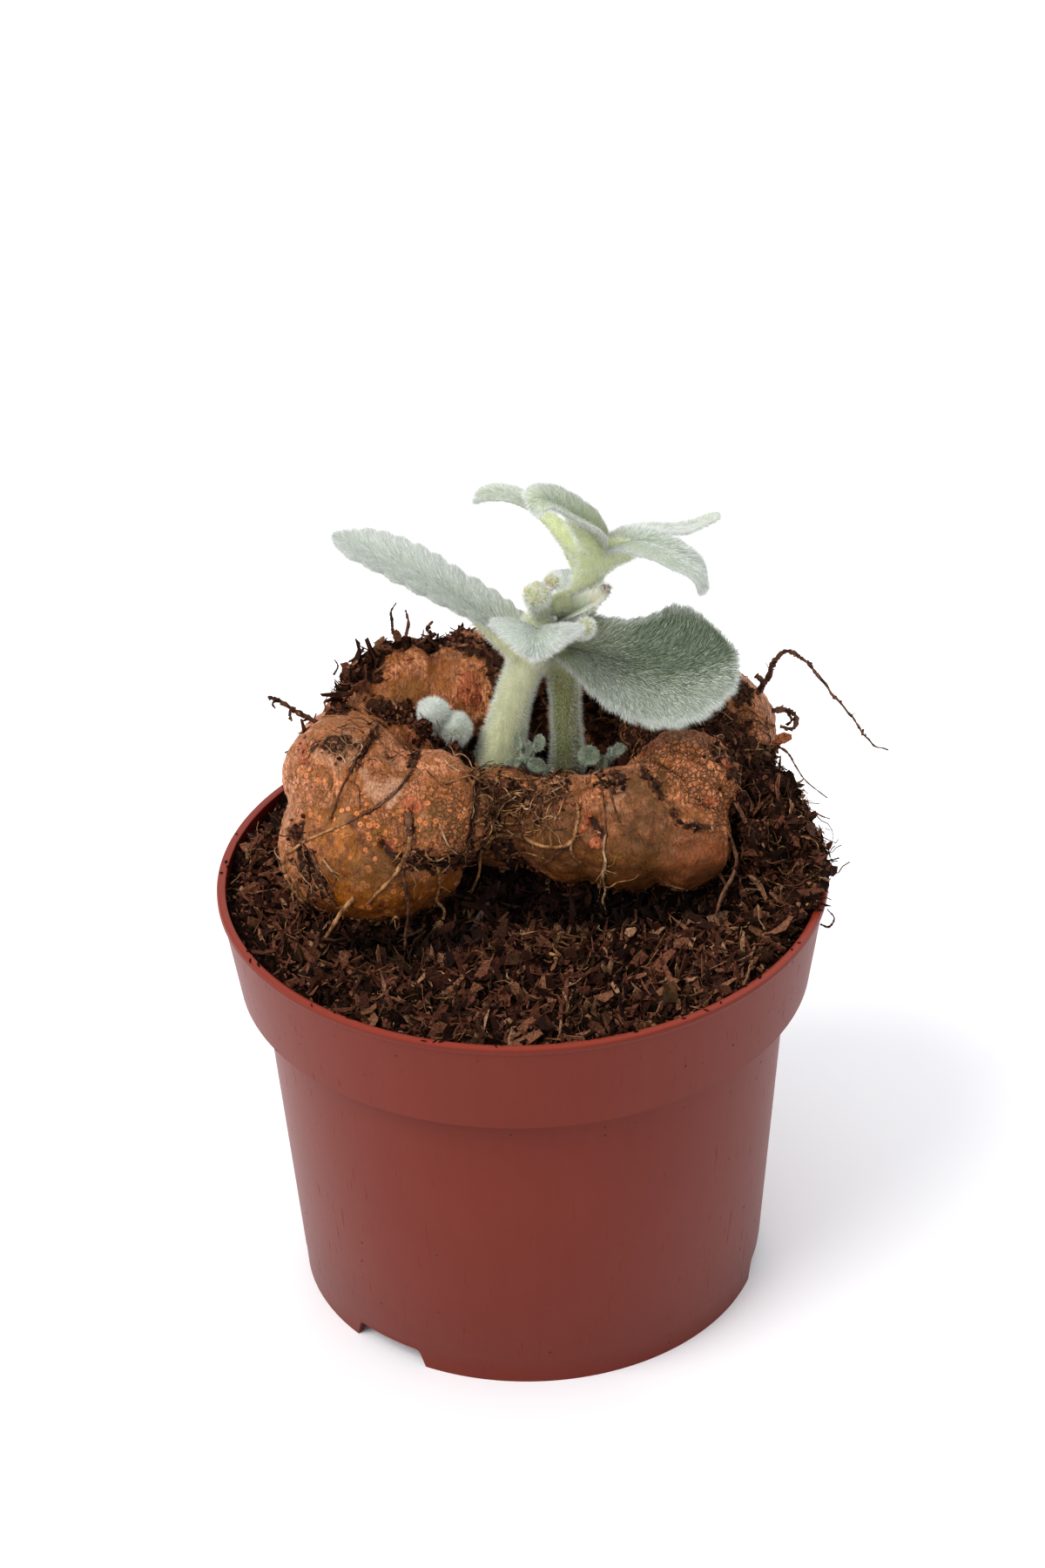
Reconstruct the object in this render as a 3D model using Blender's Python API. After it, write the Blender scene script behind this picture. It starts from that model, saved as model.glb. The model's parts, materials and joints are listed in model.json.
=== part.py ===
# Potted Brazilian edelweiss: a lobed tuber half sunk in soil in a round plant pot, with two
# woolly stems that carry silvery leaves, flower buds and young shoots.
# Lengths are in millimetres and become metres by MM. While modelling, the pot's axis is
# x = y = 0, the pot stands on z = 0 and the photographed side faces -Y. The last step moves
# everything so that the bottom centre of the whole plant's box is the origin.

import math
import random

import bmesh
import bpy
from mathutils import Matrix, Vector, noise
from mathutils.bvhtree import BVHTree

MM = 0.001
GAP = 0.3
SEED = 7

# Pot: a 12 cm nursery pot with a wide collar, a turned lip and a notched foot ring.
POT_HEIGHT = 90.0
RIM_RADIUS = 60.0
COLLAR_RADIUS = 56.2
COLLAR_HEIGHT = 20.7
WALL_TOP_RADIUS = 52.2
BASE_RADIUS = 46.5
WALL = 1.1
LIP_WIDTH = 1.8
LIP_HEIGHT = 1.6
FOOT_HEIGHT = 4.2
FOOT_WIDTH = 1.6
FLOOR_THICKNESS = 1.2
POT_SEGMENTS = 48
NOTCH_AZIMUTHS = (111.0, 231.0, 351.0)
NOTCH_WIDTH = 20.0
NOTCH_HEIGHT = 4.0
NOTCH_SLANT = 2.5
NOTCH_REACH = 5.0
DRAIN_RADIUS = 4.0
DRAIN_CIRCLE = 36.0
DRAIN_SIDES = 12
CENTRE_HOLE_RADIUS = 5.0

# Soil: level at the front, heaped against the tuber at the left, the right and the back.
SOIL_LEVEL = 86.6
SOIL_GAP = 0.6
SOIL_STEPS = 33
SOIL_RELIEF = 3.4
SOIL_TOP_LIMIT = 115.0
HEAP_EDGE_RISE = 5.0
HEAP_EDGE_SLOPE = 1.3
SOIL_HOLLOW_TRIANGLES = 800
SOIL_HOLLOW_GAP = 0.9
SOIL_HEAPS = (
    # centre x, centre y, reach, height
    (50.0, 20.0, 14.0, 11.0),
    (56.0, 5.0, 13.0, 8.0),
    (-54.0, 10.0, 13.0, 8.5),
    (-36.0, 42.0, 13.0, 7.0),
    (10.0, 52.0, 16.0, 6.0),
    (36.0, 46.0, 10.0, 4.0),
)

# Tuber: lobes in a ring round a low crown, as centre x, y, z and radii x, y, z.
TUBER_LOBES = (
    (-29.0, 1.0, 98.0, 18.5, 17.5, 17.5),
    (-18.5, 0.5, 104.5, 12.5, 13.5, 12.0),
    (-34.0, 8.0, 107.5, 13.0, 13.0, 12.0),
    (-34.0, 20.0, 100.5, 13.0, 14.5, 15.5),
    (-24.0, 38.0, 104.3, 15.0, 14.0, 15.8),
    (-30.0, 32.0, 102.0, 12.0, 13.0, 13.5),
    (-8.5, 40.5, 106.2, 11.5, 12.0, 13.4),
    (36.0, 29.5, 102.0, 15.5, 15.5, 15.0),
    (31.5, 9.5, 102.8, 11.5, 12.0, 11.2),
    (32.0, -0.5, 96.5, 9.5, 10.0, 9.5),
    (21.0, 2.5, 99.0, 13.0, 12.5, 12.4),
    (9.0, 4.0, 98.0, 11.0, 10.5, 11.0),
    (-3.0, 8.0, 98.0, 11.0, 9.5, 10.0),
    (4.0, 25.0, 87.0, 21.0, 15.0, 10.0),
    (-16.0, 22.0, 95.0, 9.0, 8.0, 9.0),
    (8.0, 41.0, 91.0, 20.0, 10.0, 10.0),
)
TUBER_VOXEL = 1.2
TUBER_SMOOTHING = 3
TUBER_LUMPS = ((0.055, 1.3), (0.13, 0.6))
TUBER_TRIANGLES = 2400

# Roots: route, thickness at the start and at the end. The first one arches out in the air.
FREE_ROOT = ((45, 29, 108), (49.4, 30, 113.9), (50.8, 30, 118.5), (52.8, 29, 121.4), (55.4, 28, 121.6),
             (58.6, 26, 119), (62.4, 24, 114.6), (65.8, 22, 110.5), (69.2, 20, 105.8), (73.2, 20, 103.6))
STUB_ROOTS = (
    ((-40, 16, 113), (-43, 15, 119), (-46, 13, 122.4), (-48.6, 12, 124.4)),
    ((-25, 36, 117), (-24.5, 37, 123), (-24.3, 38, 128)),
    ((-21, 37, 118), (-21.8, 38, 123), (-21.4, 38, 127)),
    ((47, 21, 104), (52.5, 18.5, 104.2), (55, 16.5, 101), (58, 15, 99), (60.8, 14, 96.8)),
    ((-22, -12, 94), (-22.6, -15, 90.5), (-23, -16, 85.5)),
    ((38, -5, 97), (39.5, -8.5, 93), (38, -9, 89), (36.5, -9, 85)),
)
SKIN_ROOTS = (
    ((-19, -15, 110), (-22, -17, 106), (-25, -18, 101), (-29, -17, 95)),
    ((-30, -14, 112), (-36, -13, 109), (-41, -10, 105), (-45, -6, 101)),
    ((17, -4, 110), (16, -6, 107), (16.4, -7, 102), (16.2, -7, 95)),
    ((-9, 6, 106), (-3, 0, 106), (3, -2, 105.5), (10, -4, 105)),
    ((-7, 3, 103), (0, -1, 102), (7, -4, 101), (13, -6, 98)),
    ((-34, 6, 118), (-24, 4, 118), (-16, 2, 114), (-10, 3, 108)),
    ((30, 18, 106), (36, 15, 109), (42, 13, 107), (46, 10, 102)),
)
ROOT_RADIUS = 0.55
ROOT_TIP_RADIUS = 0.38

# Stems: centre line and radii, from the tuber's crown up.
LEFT_STEM = ((-3.6, 25, 94), (-3.2, 24.8, 100), (-2.4, 24.5, 106.5), (-1.2, 24, 114.4), (1.1, 23, 121.9),
             (3.4, 22, 128.4), (4.3, 20.5, 133), (4.7, 18, 138))
LEFT_STEM_RADII = (5.9, 5.2, 4.2, 3.5, 3.5, 4.1, 3.5, 2.2)
RIGHT_STEM = ((9.4, 26, 94), (9.6, 26, 104.2), (9.4, 25.5, 112.6), (9.3, 25, 120.9), (10.2, 25, 127.8),
              (12.3, 25, 134.6), (14.5, 25, 140), (16, 24.3, 145.5), (16.8, 23.5, 149.5))
RIGHT_STEM_RADII = (4.0, 3.4, 3.25, 3.5, 3.7, 3.2, 2.7, 3.1, 2.6)
STEM_ROUNDNESS = 4

# Leaves' edges: share of the thickness lost at the edge, waves along the blade and their skew,
# and the least half width.
EDGE_THINNING = 0.35
RIPPLE_WAVES = 1.6
RIPPLE_SKEW = 0.05
LEAST_HALF_WIDTH = 0.6

# Leaves. midrib: hand-set points from base to tip. face: the way the upper side looks along the
# midrib. width: half widths. fold: how far each half is raised in a V, in degrees. droop: how far
# the edges bend back down. scallops: rounded teeth along each edge, and how deep they are.
LEAVES = {
    "leaf_left": dict(
        midrib=((3.2, 22, 127.5), (-2.6, 21, 132.6), (-9.8, 21, 138.6), (-18.2, 21, 145), (-26.9, 22, 150),
                (-34.3, 24, 153.3)),
        face=((0.3, -0.15, 1), (0.4, -0.05, 1), (0.35, 0, 1), (0.3, 0.05, 1)),
        width=(3.6, 5.4, 7.6, 9.0, 9.4, 8.4, 5.8, 1.0), fold=(40, 24, 14, 8), droop=0.1, ripple=0.35,
        scallops=10, depth=0.09, along=40, across=5, thickness=1.2),
    "leaf_right": dict(
        midrib=((8.9, 21, 128.8), (16.2, 17, 128.2), (24, 13, 127), (31, 11.5, 127), (37.8, 13.5, 128.4),
                (43.2, 16.5, 129.2)),
        face=((0, -0.6, 1), (-0.1, -0.8, 0.9), (0, -0.8, 0.9), (0.1, -0.8, 0.9)),
        width=(3.4, 6.5, 9.2, 11.2, 12.2, 11.4, 9.0, 5.4, 1.0), fold=(34, 22, 14, 8), droop=0.12, ripple=0.9,
        scallops=9, depth=0.07, along=36, across=6, thickness=1.2),
    "leaf_front": dict(
        midrib=((4.3, 19, 130.5), (4.2, 13, 136.6), (4.0, 6.5, 140.8), (3.9, 2.6, 140.6), (3.8, 1.4, 137.8)),
        face=((0.05, -0.4, 1), (0.05, -0.3, 1), (0.05, -0.8, 0.8), (0.05, -1, 0.4)),
        width=(3.4, 8.2, 9.4, 8.0, 4.6, 0.9), fold=(32, 26, 18, 10), droop=0.15, ripple=0.3,
        scallops=5, depth=0.06, along=20, across=6, thickness=1.1),
    "leaf_back": dict(
        midrib=((12.2, 27.5, 134.5), (10.8, 34, 136.0), (10.0, 42, 134)),
        face=((0, -0.2, 1), (0, -0.1, 1)),
        width=(2.0, 3.2, 3.2, 2.2, 0.7), fold=(25, 10), droop=0.1, ripple=0.1,
        scallops=4, depth=0.05, along=12, across=4, thickness=1.0),
    "leaf_small": dict(
        midrib=((10.8, 22, 134.0), (13.2, 19.8, 139), (17.7, 20, 142.5)),
        face=((-0.3, -0.7, 1), (-0.3, -0.7, 1)),
        width=(1.8, 2.8, 2.8, 2.0, 0.6), fold=(38, 22), droop=0.0, ripple=0.0,
        scallops=0, depth=0.0, along=12, across=4, thickness=0.9),
    "leaf_top_left": dict(
        midrib=((15.2, 25.2, 143.2), (11.5, 30, 147.1), (6.5, 33, 151), (0.7, 34, 154.9), (-4.2, 34, 155.6),
                (-6.7, 33, 154.2)),
        face=((0.9, 0.2, 0.3), (0.7, 0.2, 0.7), (0.3, 0.1, 1), (0, 0, 1), (-0.9, 0, 0.4)),
        width=(2.6, 3.6, 4.1, 4.0, 3.4, 0.9), fold=(15, 8), droop=0.15, ripple=0.15,
        scallops=6, depth=0.05, along=20, across=4, thickness=1.1),
    "leaf_top_front": dict(
        midrib=((16.3, 22, 145), (14.8, 19, 153), (11.5, 14, 160.5), (8.2, 11, 165.4), (5.1, 8.5, 167.8),
                (3.8, 8, 166)),
        face=((0.8, -0.3, 0.2), (0.7, -0.3, 0.6), (0.4, -0.4, 1), (-0.2, -0.4, 1), (-0.9, -0.3, 0.1)),
        width=(3.0, 5.0, 5.3, 4.4, 3.2, 0.9), fold=(10, 5), droop=0.15, ripple=0.15,
        scallops=6, depth=0.05, along=20, across=4, thickness=1.1),
    "leaf_top_right": dict(
        midrib=((16.8, 22, 145), (20.5, 18, 151), (25.4, 14, 154), (30.8, 12, 153.2), (34.6, 12, 149.7),
                (36, 12, 144.8)),
        face=((-0.7, -0.1, 0.6), (-0.3, -0.1, 1), (0.1, -0.1, 1), (0.5, -0.1, 0.8), (0.9, -0.1, 0.3)),
        width=(3.0, 4.8, 5.2, 5.0, 3.8, 0.9), fold=(10, 5), droop=0.15, ripple=0.15,
        scallops=6, depth=0.06, along=20, across=4, thickness=1.1),
    "leaf_top_back": dict(
        midrib=((17.2, 26, 143.6), (24.5, 34, 143.9), (30.8, 42, 142.4), (36.6, 46, 141), (41, 48, 141.6)),
        face=((-0.3, 0, 1), (-0.2, -0.1, 1), (-0.2, -0.1, 1)),
        width=(2.4, 4.4, 5.4, 4.0, 0.9), fold=(15, 5), droop=0.1, ripple=0.2,
        scallops=5, depth=0.05, along=20, across=4, thickness=1.1),
}

# Flower buds: stalk route and the knobs at its end, as centre x, y, z and radius.
LEFT_BUD_STALK = ((4.6, 18.6, 136.5), (4.7, 17.6, 139), (4.8, 16.8, 141.5))
LEFT_BUD_KNOBS = ((4.8, 16.4, 142.6, 2.2), (7.0, 18.8, 143.0, 1.7))
RIGHT_BUD_STALK = ((11.6, 23.5, 131.8), (12.8, 19, 134), (13.5, 16, 137.2))
RIGHT_BUD_KNOBS = ((13.6, 15.4, 137.6, 1.5),)
BUD_STALK_RADIUS = 1.2
# Florets and sepals are sized and placed as shares of their knob's radius.
FLORETS = 5
FLORET_SIZE = 0.48
FLORET_OUT = 0.72
FLORET_UP = 0.55
SEPALS = 4
SEPAL_SIDES = 5
SEPAL_RADIUS = 0.45
SEPAL_LENGTH = 1.5
SEPAL_REACH = 0.85
SEPAL_DROP = 0.3
SEPAL_FLATNESS = 0.6
SEPAL_TIP = 0.15
SEPAL_LEAN = 75.0

# Young shoots on the crown, as stalk route, then knobs and leaflets as x, y, z and radius.
# Leaflets lean to the front, where the light comes in between the lobes.
LEAFLET_LEAN = 50.0
LEAFLET_NARROWNESS = 0.85
SHOOT_STALK_RADIUS = 1.3
PETIOLE_RADIUS = 0.9
WOOLLY_SHOOT_STALK = ((-14, 22.5, 100), (-13.8, 22.8, 105), (-14, 23, 109))
WOOLLY_SHOOT_KNOBS = ((-16.9, 23.6, 113.2, 3.9), (-12.3, 23.2, 109.6, 3.6), (-13.0, 22.6, 106.8, 3.0))
RIGHT_SUCKER_STALK = ((17, 20.5, 90), (17, 20.3, 98), (16.8, 20, 102.4))
RIGHT_SUCKER_LEAFLETS = ((13.8, 19.2, 104.0, 2.6), (19.2, 19.6, 104.6, 2.0))
MIDDLE_SUCKER_STALK = ((1.6, 18.6, 93), (1.4, 18.8, 99), (1.3, 19.2, 104.5))
MIDDLE_SUCKER_LEAFLETS = ((-1.3, 17.6, 103.6, 1.6), (0.0, 20.0, 108.0, 1.6), (2.0, 17.6, 106.8, 1.7),
                          (3.6, 18.2, 108.3, 1.5), (3.2, 16.4, 104.8, 1.7))

COLOURS = {
    # red, green, blue, roughness
    "terracotta_plastic": (0.46, 0.075, 0.042, 0.38),
    "peat_soil": (0.055, 0.028, 0.014, 0.95),
    "tuber_skin": (0.36, 0.12, 0.04, 0.6),
    "silver_leaf": (0.38, 0.48, 0.38, 0.85),
    "pale_stem": (0.46, 0.53, 0.34, 0.8),
    "bud_green": (0.52, 0.42, 0.24, 0.8),
    "woolly_white": (0.66, 0.72, 0.66, 0.95),
}


def clearScene():
    for item in list(bpy.data.objects):
        bpy.data.objects.remove(item)


def material(name):
    found = bpy.data.materials.get(name)
    if found:
        return found
    red, green, blue, roughness = COLOURS[name]
    made = bpy.data.materials.new(name)
    made.use_nodes = True
    shader = made.node_tree.nodes["Principled BSDF"]
    shader.inputs["Base Color"].default_value = (red, green, blue, 1)
    shader.inputs["Roughness"].default_value = roughness
    return made


def addObject(name, bm, look):
    # Turns millimetres into metres and gives the mesh outward faces.
    bmesh.ops.remove_doubles(bm, verts=bm.verts[:], dist=0.01)
    bmesh.ops.recalc_face_normals(bm, faces=bm.faces[:])
    bmesh.ops.scale(bm, vec=(MM, MM, MM), verts=bm.verts[:])
    mesh = bpy.data.meshes.new(name)
    bm.to_mesh(mesh)
    bm.free()
    mesh.materials.append(material(look))
    made = bpy.data.objects.new(name, mesh)
    bpy.context.scene.collection.objects.link(made)
    return made


def applyModifiers(item):
    graph = bpy.context.evaluated_depsgraph_get()
    mesh = bpy.data.meshes.new_from_object(item.evaluated_get(graph))
    item.modifiers.clear()
    item.data = mesh


def boolean(target, others, operation, solver="EXACT"):
    operands = bpy.data.collections.new("operands")
    bpy.context.scene.collection.children.link(operands)
    for other in others:
        operands.objects.link(other)
    modifier = target.modifiers.new(operation.lower(), "BOOLEAN")
    modifier.operation = operation
    modifier.solver = solver
    modifier.operand_type = "COLLECTION"
    modifier.collection = operands
    applyModifiers(target)
    for other in others:
        bpy.data.objects.remove(other)
    bpy.data.collections.remove(operands)


def keepLargest(item):
    # Drops loose scraps that a cut leaves behind.
    bm = bmesh.new()
    bm.from_mesh(item.data)
    left = set(bm.faces)
    bodies = []
    while left:
        start = left.pop()
        body = [start]
        waiting = [start]
        while waiting:
            face = waiting.pop()
            for edge in face.edges:
                for neighbour in edge.link_faces:
                    if neighbour in left:
                        left.remove(neighbour)
                        body.append(neighbour)
                        waiting.append(neighbour)
        bodies.append(body)
    bodies.sort(key=lambda body: sum(face.calc_area() for face in body))
    for body in bodies[:-1]:
        bmesh.ops.delete(bm, geom=body, context="FACES")
    loose = [vert for vert in bm.verts if not vert.link_faces]
    bmesh.ops.delete(bm, geom=loose, context="VERTS")
    bm.to_mesh(item.data)
    bm.free()


def inflated(item, distance=GAP):
    # A copy whose surface lies outside by the gap, to cut a neighbour clear of the item.
    bm = bmesh.new()
    bm.from_mesh(item.data)
    bm.normal_update()
    shifts = [vert.normal * distance * MM for vert in bm.verts]
    for vert, shift in zip(bm.verts, shifts):
        vert.co += shift
    mesh = bpy.data.meshes.new("clearance")
    bm.to_mesh(mesh)
    bm.free()
    made = bpy.data.objects.new("clearance", mesh)
    made.hide_render = True
    made.display_type = "WIRE"
    bpy.context.scene.collection.objects.link(made)
    return made


def hull(item):
    # The item's convex outline, a plainer cutter for small bumpy pieces.
    bm = bmesh.new()
    bm.from_mesh(item.data)
    outline = bmesh.ops.convex_hull(bm, input=bm.verts[:])
    inside = outline["geom_interior"] + outline["geom_unused"]
    spare = [piece for piece in inside if isinstance(piece, bmesh.types.BMVert)]
    kept = {piece for piece in outline["geom"] if isinstance(piece, bmesh.types.BMFace)}
    bmesh.ops.delete(bm, geom=[face for face in bm.faces if face not in kept], context="FACES_ONLY")
    bmesh.ops.delete(bm, geom=[vert for vert in spare if vert.is_valid], context="VERTS")
    bmesh.ops.delete(bm, geom=[edge for edge in bm.edges if not edge.link_faces], context="EDGES")
    bmesh.ops.recalc_face_normals(bm, faces=bm.faces[:])
    bm.to_mesh(item.data)
    bm.free()
    return item


def surfaceTree(item):
    bm = bmesh.new()
    bm.from_mesh(item.data)
    tree = BVHTree.FromBMesh(bm)
    bm.free()
    return tree


def cutClear(item, neighbours, bumpy=()):
    # Cuts away what reaches into a neighbour or its gap, or into the outline of a bumpy one.
    cutters = [inflated(neighbour) for neighbour in neighbours]
    cutters += [hull(inflated(neighbour)) for neighbour in bumpy]
    reached = surfaceTree(item)
    crossing = [cutter for cutter in cutters if reached.overlap(surfaceTree(cutter))]
    for cutter in cutters:
        if cutter not in crossing:
            bpy.data.objects.remove(cutter)
    for cutter in crossing:
        boolean(item, [cutter], "DIFFERENCE")
    keepLargest(item)


def smoothRoute(points, count):
    # Points at even steps on a curve through the given points.
    knots = [Vector(point) for point in points]
    knots = [knots[0] * 2 - knots[1]] + knots + [knots[-1] * 2 - knots[-2]]
    spans = len(points) - 1
    route = []
    for step in range(count):
        place = step / (count - 1) * spans
        span = min(int(place), spans - 1)
        u = place - span
        before, start, end, after = knots[span:span + 4]
        route.append(0.5 * (2 * start + (end - before) * u
                            + (2 * before - 5 * start + 4 * end - after) * u * u
                            + (3 * start - before - 3 * end + after) * u ** 3))
    return route


def smoothValues(values, count):
    return [vector.x for vector in smoothRoute([(value, 0, 0) for value in values], count)]


def tube(name, route, radii, look, resolution):
    # A round bar through the route, with a closed cap at each end.
    curve = bpy.data.curves.new(name, "CURVE")
    curve.dimensions = "3D"
    curve.bevel_depth = MM
    curve.bevel_resolution = resolution
    curve.use_fill_caps = True
    spline = curve.splines.new("POLY")
    spline.points.add(len(route) - 1)
    for point, place, radius in zip(spline.points, route, radii):
        point.co = (*(place * MM), 1)
        point.radius = radius
    made = bpy.data.objects.new(name, curve)
    bpy.context.scene.collection.objects.link(made)
    graph = bpy.context.evaluated_depsgraph_get()
    mesh = bpy.data.meshes.new_from_object(made.evaluated_get(graph))
    bpy.data.objects.remove(made)
    bm = bmesh.new()
    bm.from_mesh(mesh)
    bmesh.ops.scale(bm, vec=(1 / MM, 1 / MM, 1 / MM), verts=bm.verts[:])
    return addObject(name, bm, look)


def ball(name, centre, radii, look, subdivisions=2):
    bm = bmesh.new()
    bmesh.ops.create_icosphere(bm, subdivisions=subdivisions, radius=1)
    bmesh.ops.scale(bm, vec=radii, verts=bm.verts[:])
    bmesh.ops.translate(bm, vec=centre, verts=bm.verts[:])
    return addObject(name, bm, look)


def innerRadius(height):
    # Radius of the pot's inside at a height.
    ledge = POT_HEIGHT - COLLAR_HEIGHT
    if height < ledge + WALL:
        share = height / ledge
        return BASE_RADIUS + (WALL_TOP_RADIUS - BASE_RADIUS) * min(share, 1) - WALL
    share = (height - ledge) / COLLAR_HEIGHT
    return COLLAR_RADIUS + (RIM_RADIUS - COLLAR_RADIUS) * share - WALL


def potProfile():
    ledge = POT_HEIGHT - COLLAR_HEIGHT
    top = POT_HEIGHT
    floor = FOOT_HEIGHT + FLOOR_THICKNESS
    neck = POT_HEIGHT - LIP_HEIGHT
    return [
        (BASE_RADIUS, 0),
        (WALL_TOP_RADIUS, ledge),
        (COLLAR_RADIUS - 0.5, ledge),
        (COLLAR_RADIUS, ledge + 0.7),
        (RIM_RADIUS - 0.5, neck),
        (RIM_RADIUS, neck + 0.5),
        (RIM_RADIUS - 0.3, top),
        (RIM_RADIUS - LIP_WIDTH + 0.3, top),
        (RIM_RADIUS - LIP_WIDTH, top - 0.5),
        (innerRadius(neck - 1), neck - 1),
        (innerRadius(ledge + WALL + 0.2), ledge + WALL + 0.2),
        (WALL_TOP_RADIUS - WALL, ledge + WALL),
        (innerRadius(floor + 2), floor + 2),
        (innerRadius(floor) - 2, floor),
        (CENTRE_HOLE_RADIUS, floor),
        (CENTRE_HOLE_RADIUS, FOOT_HEIGHT),
        (BASE_RADIUS - FOOT_WIDTH, FOOT_HEIGHT),
        (BASE_RADIUS - FOOT_WIDTH, 0),
    ]


def turned(profile, segments, closed):
    bm = bmesh.new()
    verts = [bm.verts.new((radius, 0, height)) for radius, height in profile]
    pairs = list(zip(verts, verts[1:]))
    if closed:
        pairs.append((verts[-1], verts[0]))
    edges = [bm.edges.new(pair) for pair in pairs]
    bmesh.ops.spin(bm, geom=verts + edges, cent=(0, 0, 0), axis=(0, 0, 1), angle=math.tau,
                   steps=segments, use_merge=True)
    return bm


def notchCutter(azimuth):
    # A block with slanted ends that opens the foot ring to the floor.
    bm = bmesh.new()
    bmesh.ops.create_cube(bm, size=2)
    for vert in bm.verts:
        radial = BASE_RADIUS - FOOT_WIDTH + vert.co.x * NOTCH_REACH
        half = NOTCH_WIDTH / 2 - (NOTCH_SLANT if vert.co.z > 0 else 0)
        height = NOTCH_HEIGHT if vert.co.z > 0 else -NOTCH_HEIGHT
        vert.co = (radial, vert.co.y * half, height)
    bmesh.ops.rotate(bm, cent=(0, 0, 0), matrix=Matrix.Rotation(math.radians(azimuth), 3, "Z"),
                     verts=bm.verts[:])
    return addObject("notch", bm, "terracotta_plastic")


def drainCutter(azimuth):
    bm = bmesh.new()
    angle = math.radians(azimuth)
    middle = FOOT_HEIGHT + FLOOR_THICKNESS / 2
    centre = (DRAIN_CIRCLE * math.cos(angle), DRAIN_CIRCLE * math.sin(angle), middle)
    bmesh.ops.create_cone(bm, cap_ends=True, segments=DRAIN_SIDES, radius1=DRAIN_RADIUS, radius2=DRAIN_RADIUS,
                          depth=4 * FLOOR_THICKNESS, matrix=Matrix.Translation(centre))
    return addObject("drain", bm, "terracotta_plastic")


def makePot():
    pot = addObject("pot", turned(potProfile(), POT_SEGMENTS, True), "terracotta_plastic")
    cutters = [notchCutter(azimuth) for azimuth in NOTCH_AZIMUTHS]
    cutters += [drainCutter(azimuth) for azimuth in NOTCH_AZIMUTHS]
    boolean(pot, cutters, "DIFFERENCE")
    return pot


def soilHeight(x, y):
    height = SOIL_LEVEL
    for centreX, centreY, reach, rise in SOIL_HEAPS:
        away = math.hypot(x - centreX, y - centreY) / reach
        height += rise * math.exp(-away * away)
    coarse = noise.noise(Vector((x * 0.17, y * 0.17, SEED)))
    fine = noise.noise(Vector((x * 0.38, y * 0.38, SEED + 5)))
    height += SOIL_RELIEF * (coarse + 0.8 * fine)
    inward = RIM_RADIUS - math.hypot(x, y)
    return min(height, SOIL_LEVEL + HEAP_EDGE_RISE + HEAP_EDGE_SLOPE * max(inward, 0))


def hollowCutter(tuber):
    # A coarser copy of the tuber, a little larger, that presses its hollow into the soil.
    cutter = inflated(tuber, SOIL_HOLLOW_GAP)
    decimate = cutter.modifiers.new("fewer", "DECIMATE")
    decimate.ratio = SOIL_HOLLOW_TRIANGLES / len(cutter.data.polygons)
    applyModifiers(cutter)
    return cutter


def soilCore():
    # The room inside the pot, carried straight up past the rim.
    floor = FOOT_HEIGHT + FLOOR_THICKNESS
    ledge = POT_HEIGHT - COLLAR_HEIGHT + WALL
    edge = innerRadius(SOIL_LEVEL) - SOIL_GAP
    profile = [(0, floor + GAP),
               (innerRadius(floor) - 2 - SOIL_GAP, floor + GAP),
               (innerRadius(floor + 2) - SOIL_GAP, floor + 2 + GAP),
               (WALL_TOP_RADIUS - WALL - SOIL_GAP, ledge + GAP),
               (innerRadius(ledge + 1) - SOIL_GAP, ledge + 1),
               (edge, SOIL_LEVEL),
               (edge, SOIL_TOP_LIMIT),
               (0, SOIL_TOP_LIMIT)]
    return addObject("soil_core", turned(profile, POT_SEGMENTS, False), "peat_soil")


def makeSoil(tuber):
    # A grid raised by soilHeight and thickened down to the floor, kept where the pot has room.
    bm = bmesh.new()
    bmesh.ops.create_grid(bm, x_segments=SOIL_STEPS, y_segments=SOIL_STEPS, size=RIM_RADIUS + 1)
    bmesh.ops.triangulate(bm, faces=bm.faces[:])
    top = list(bm.verts)
    grown = bmesh.ops.extrude_face_region(bm, geom=bm.faces[:], use_keep_orig=True)
    for vert in top:
        vert.co.z = soilHeight(vert.co.x, vert.co.y)
    for piece in grown["geom"]:
        if isinstance(piece, bmesh.types.BMVert):
            piece.co.z = 0
    soil = addObject("soil", bm, "peat_soil")
    boolean(soil, [soilCore()], "INTERSECT")
    boolean(soil, [hollowCutter(tuber)], "DIFFERENCE")
    keepLargest(soil)
    return soil


def makeTuber():
    bm = bmesh.new()
    for x, y, z, wide, deep, high in TUBER_LOBES:
        shape = Matrix.Translation((x, y, z)) @ Matrix.Diagonal((wide, deep, high, 1))
        bmesh.ops.create_icosphere(bm, subdivisions=4, radius=1, matrix=shape)
    tuber = addObject("tuber", bm, "tuber_skin")
    remesh = tuber.modifiers.new("join", "REMESH")
    remesh.mode = "VOXEL"
    remesh.voxel_size = TUBER_VOXEL * MM
    applyModifiers(tuber)
    bm = bmesh.new()
    bm.from_mesh(tuber.data)
    for _ in range(TUBER_SMOOTHING):
        bmesh.ops.smooth_vert(bm, verts=bm.verts[:], factor=0.5, use_axis_x=True, use_axis_y=True,
                              use_axis_z=True)
    bm.normal_update()
    shifts = []
    for vert in bm.verts:
        rise = sum(noise.noise(vert.co / MM * frequency) * height for frequency, height in TUBER_LUMPS)
        shifts.append(vert.normal * rise * MM)
    for vert, shift in zip(bm.verts, shifts):
        vert.co += shift
    faces = 2 * len(bm.faces)
    bm.to_mesh(tuber.data)
    bm.free()
    decimate = tuber.modifiers.new("fewer", "DECIMATE")
    decimate.ratio = TUBER_TRIANGLES / faces
    applyModifiers(tuber)
    return tuber


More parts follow.
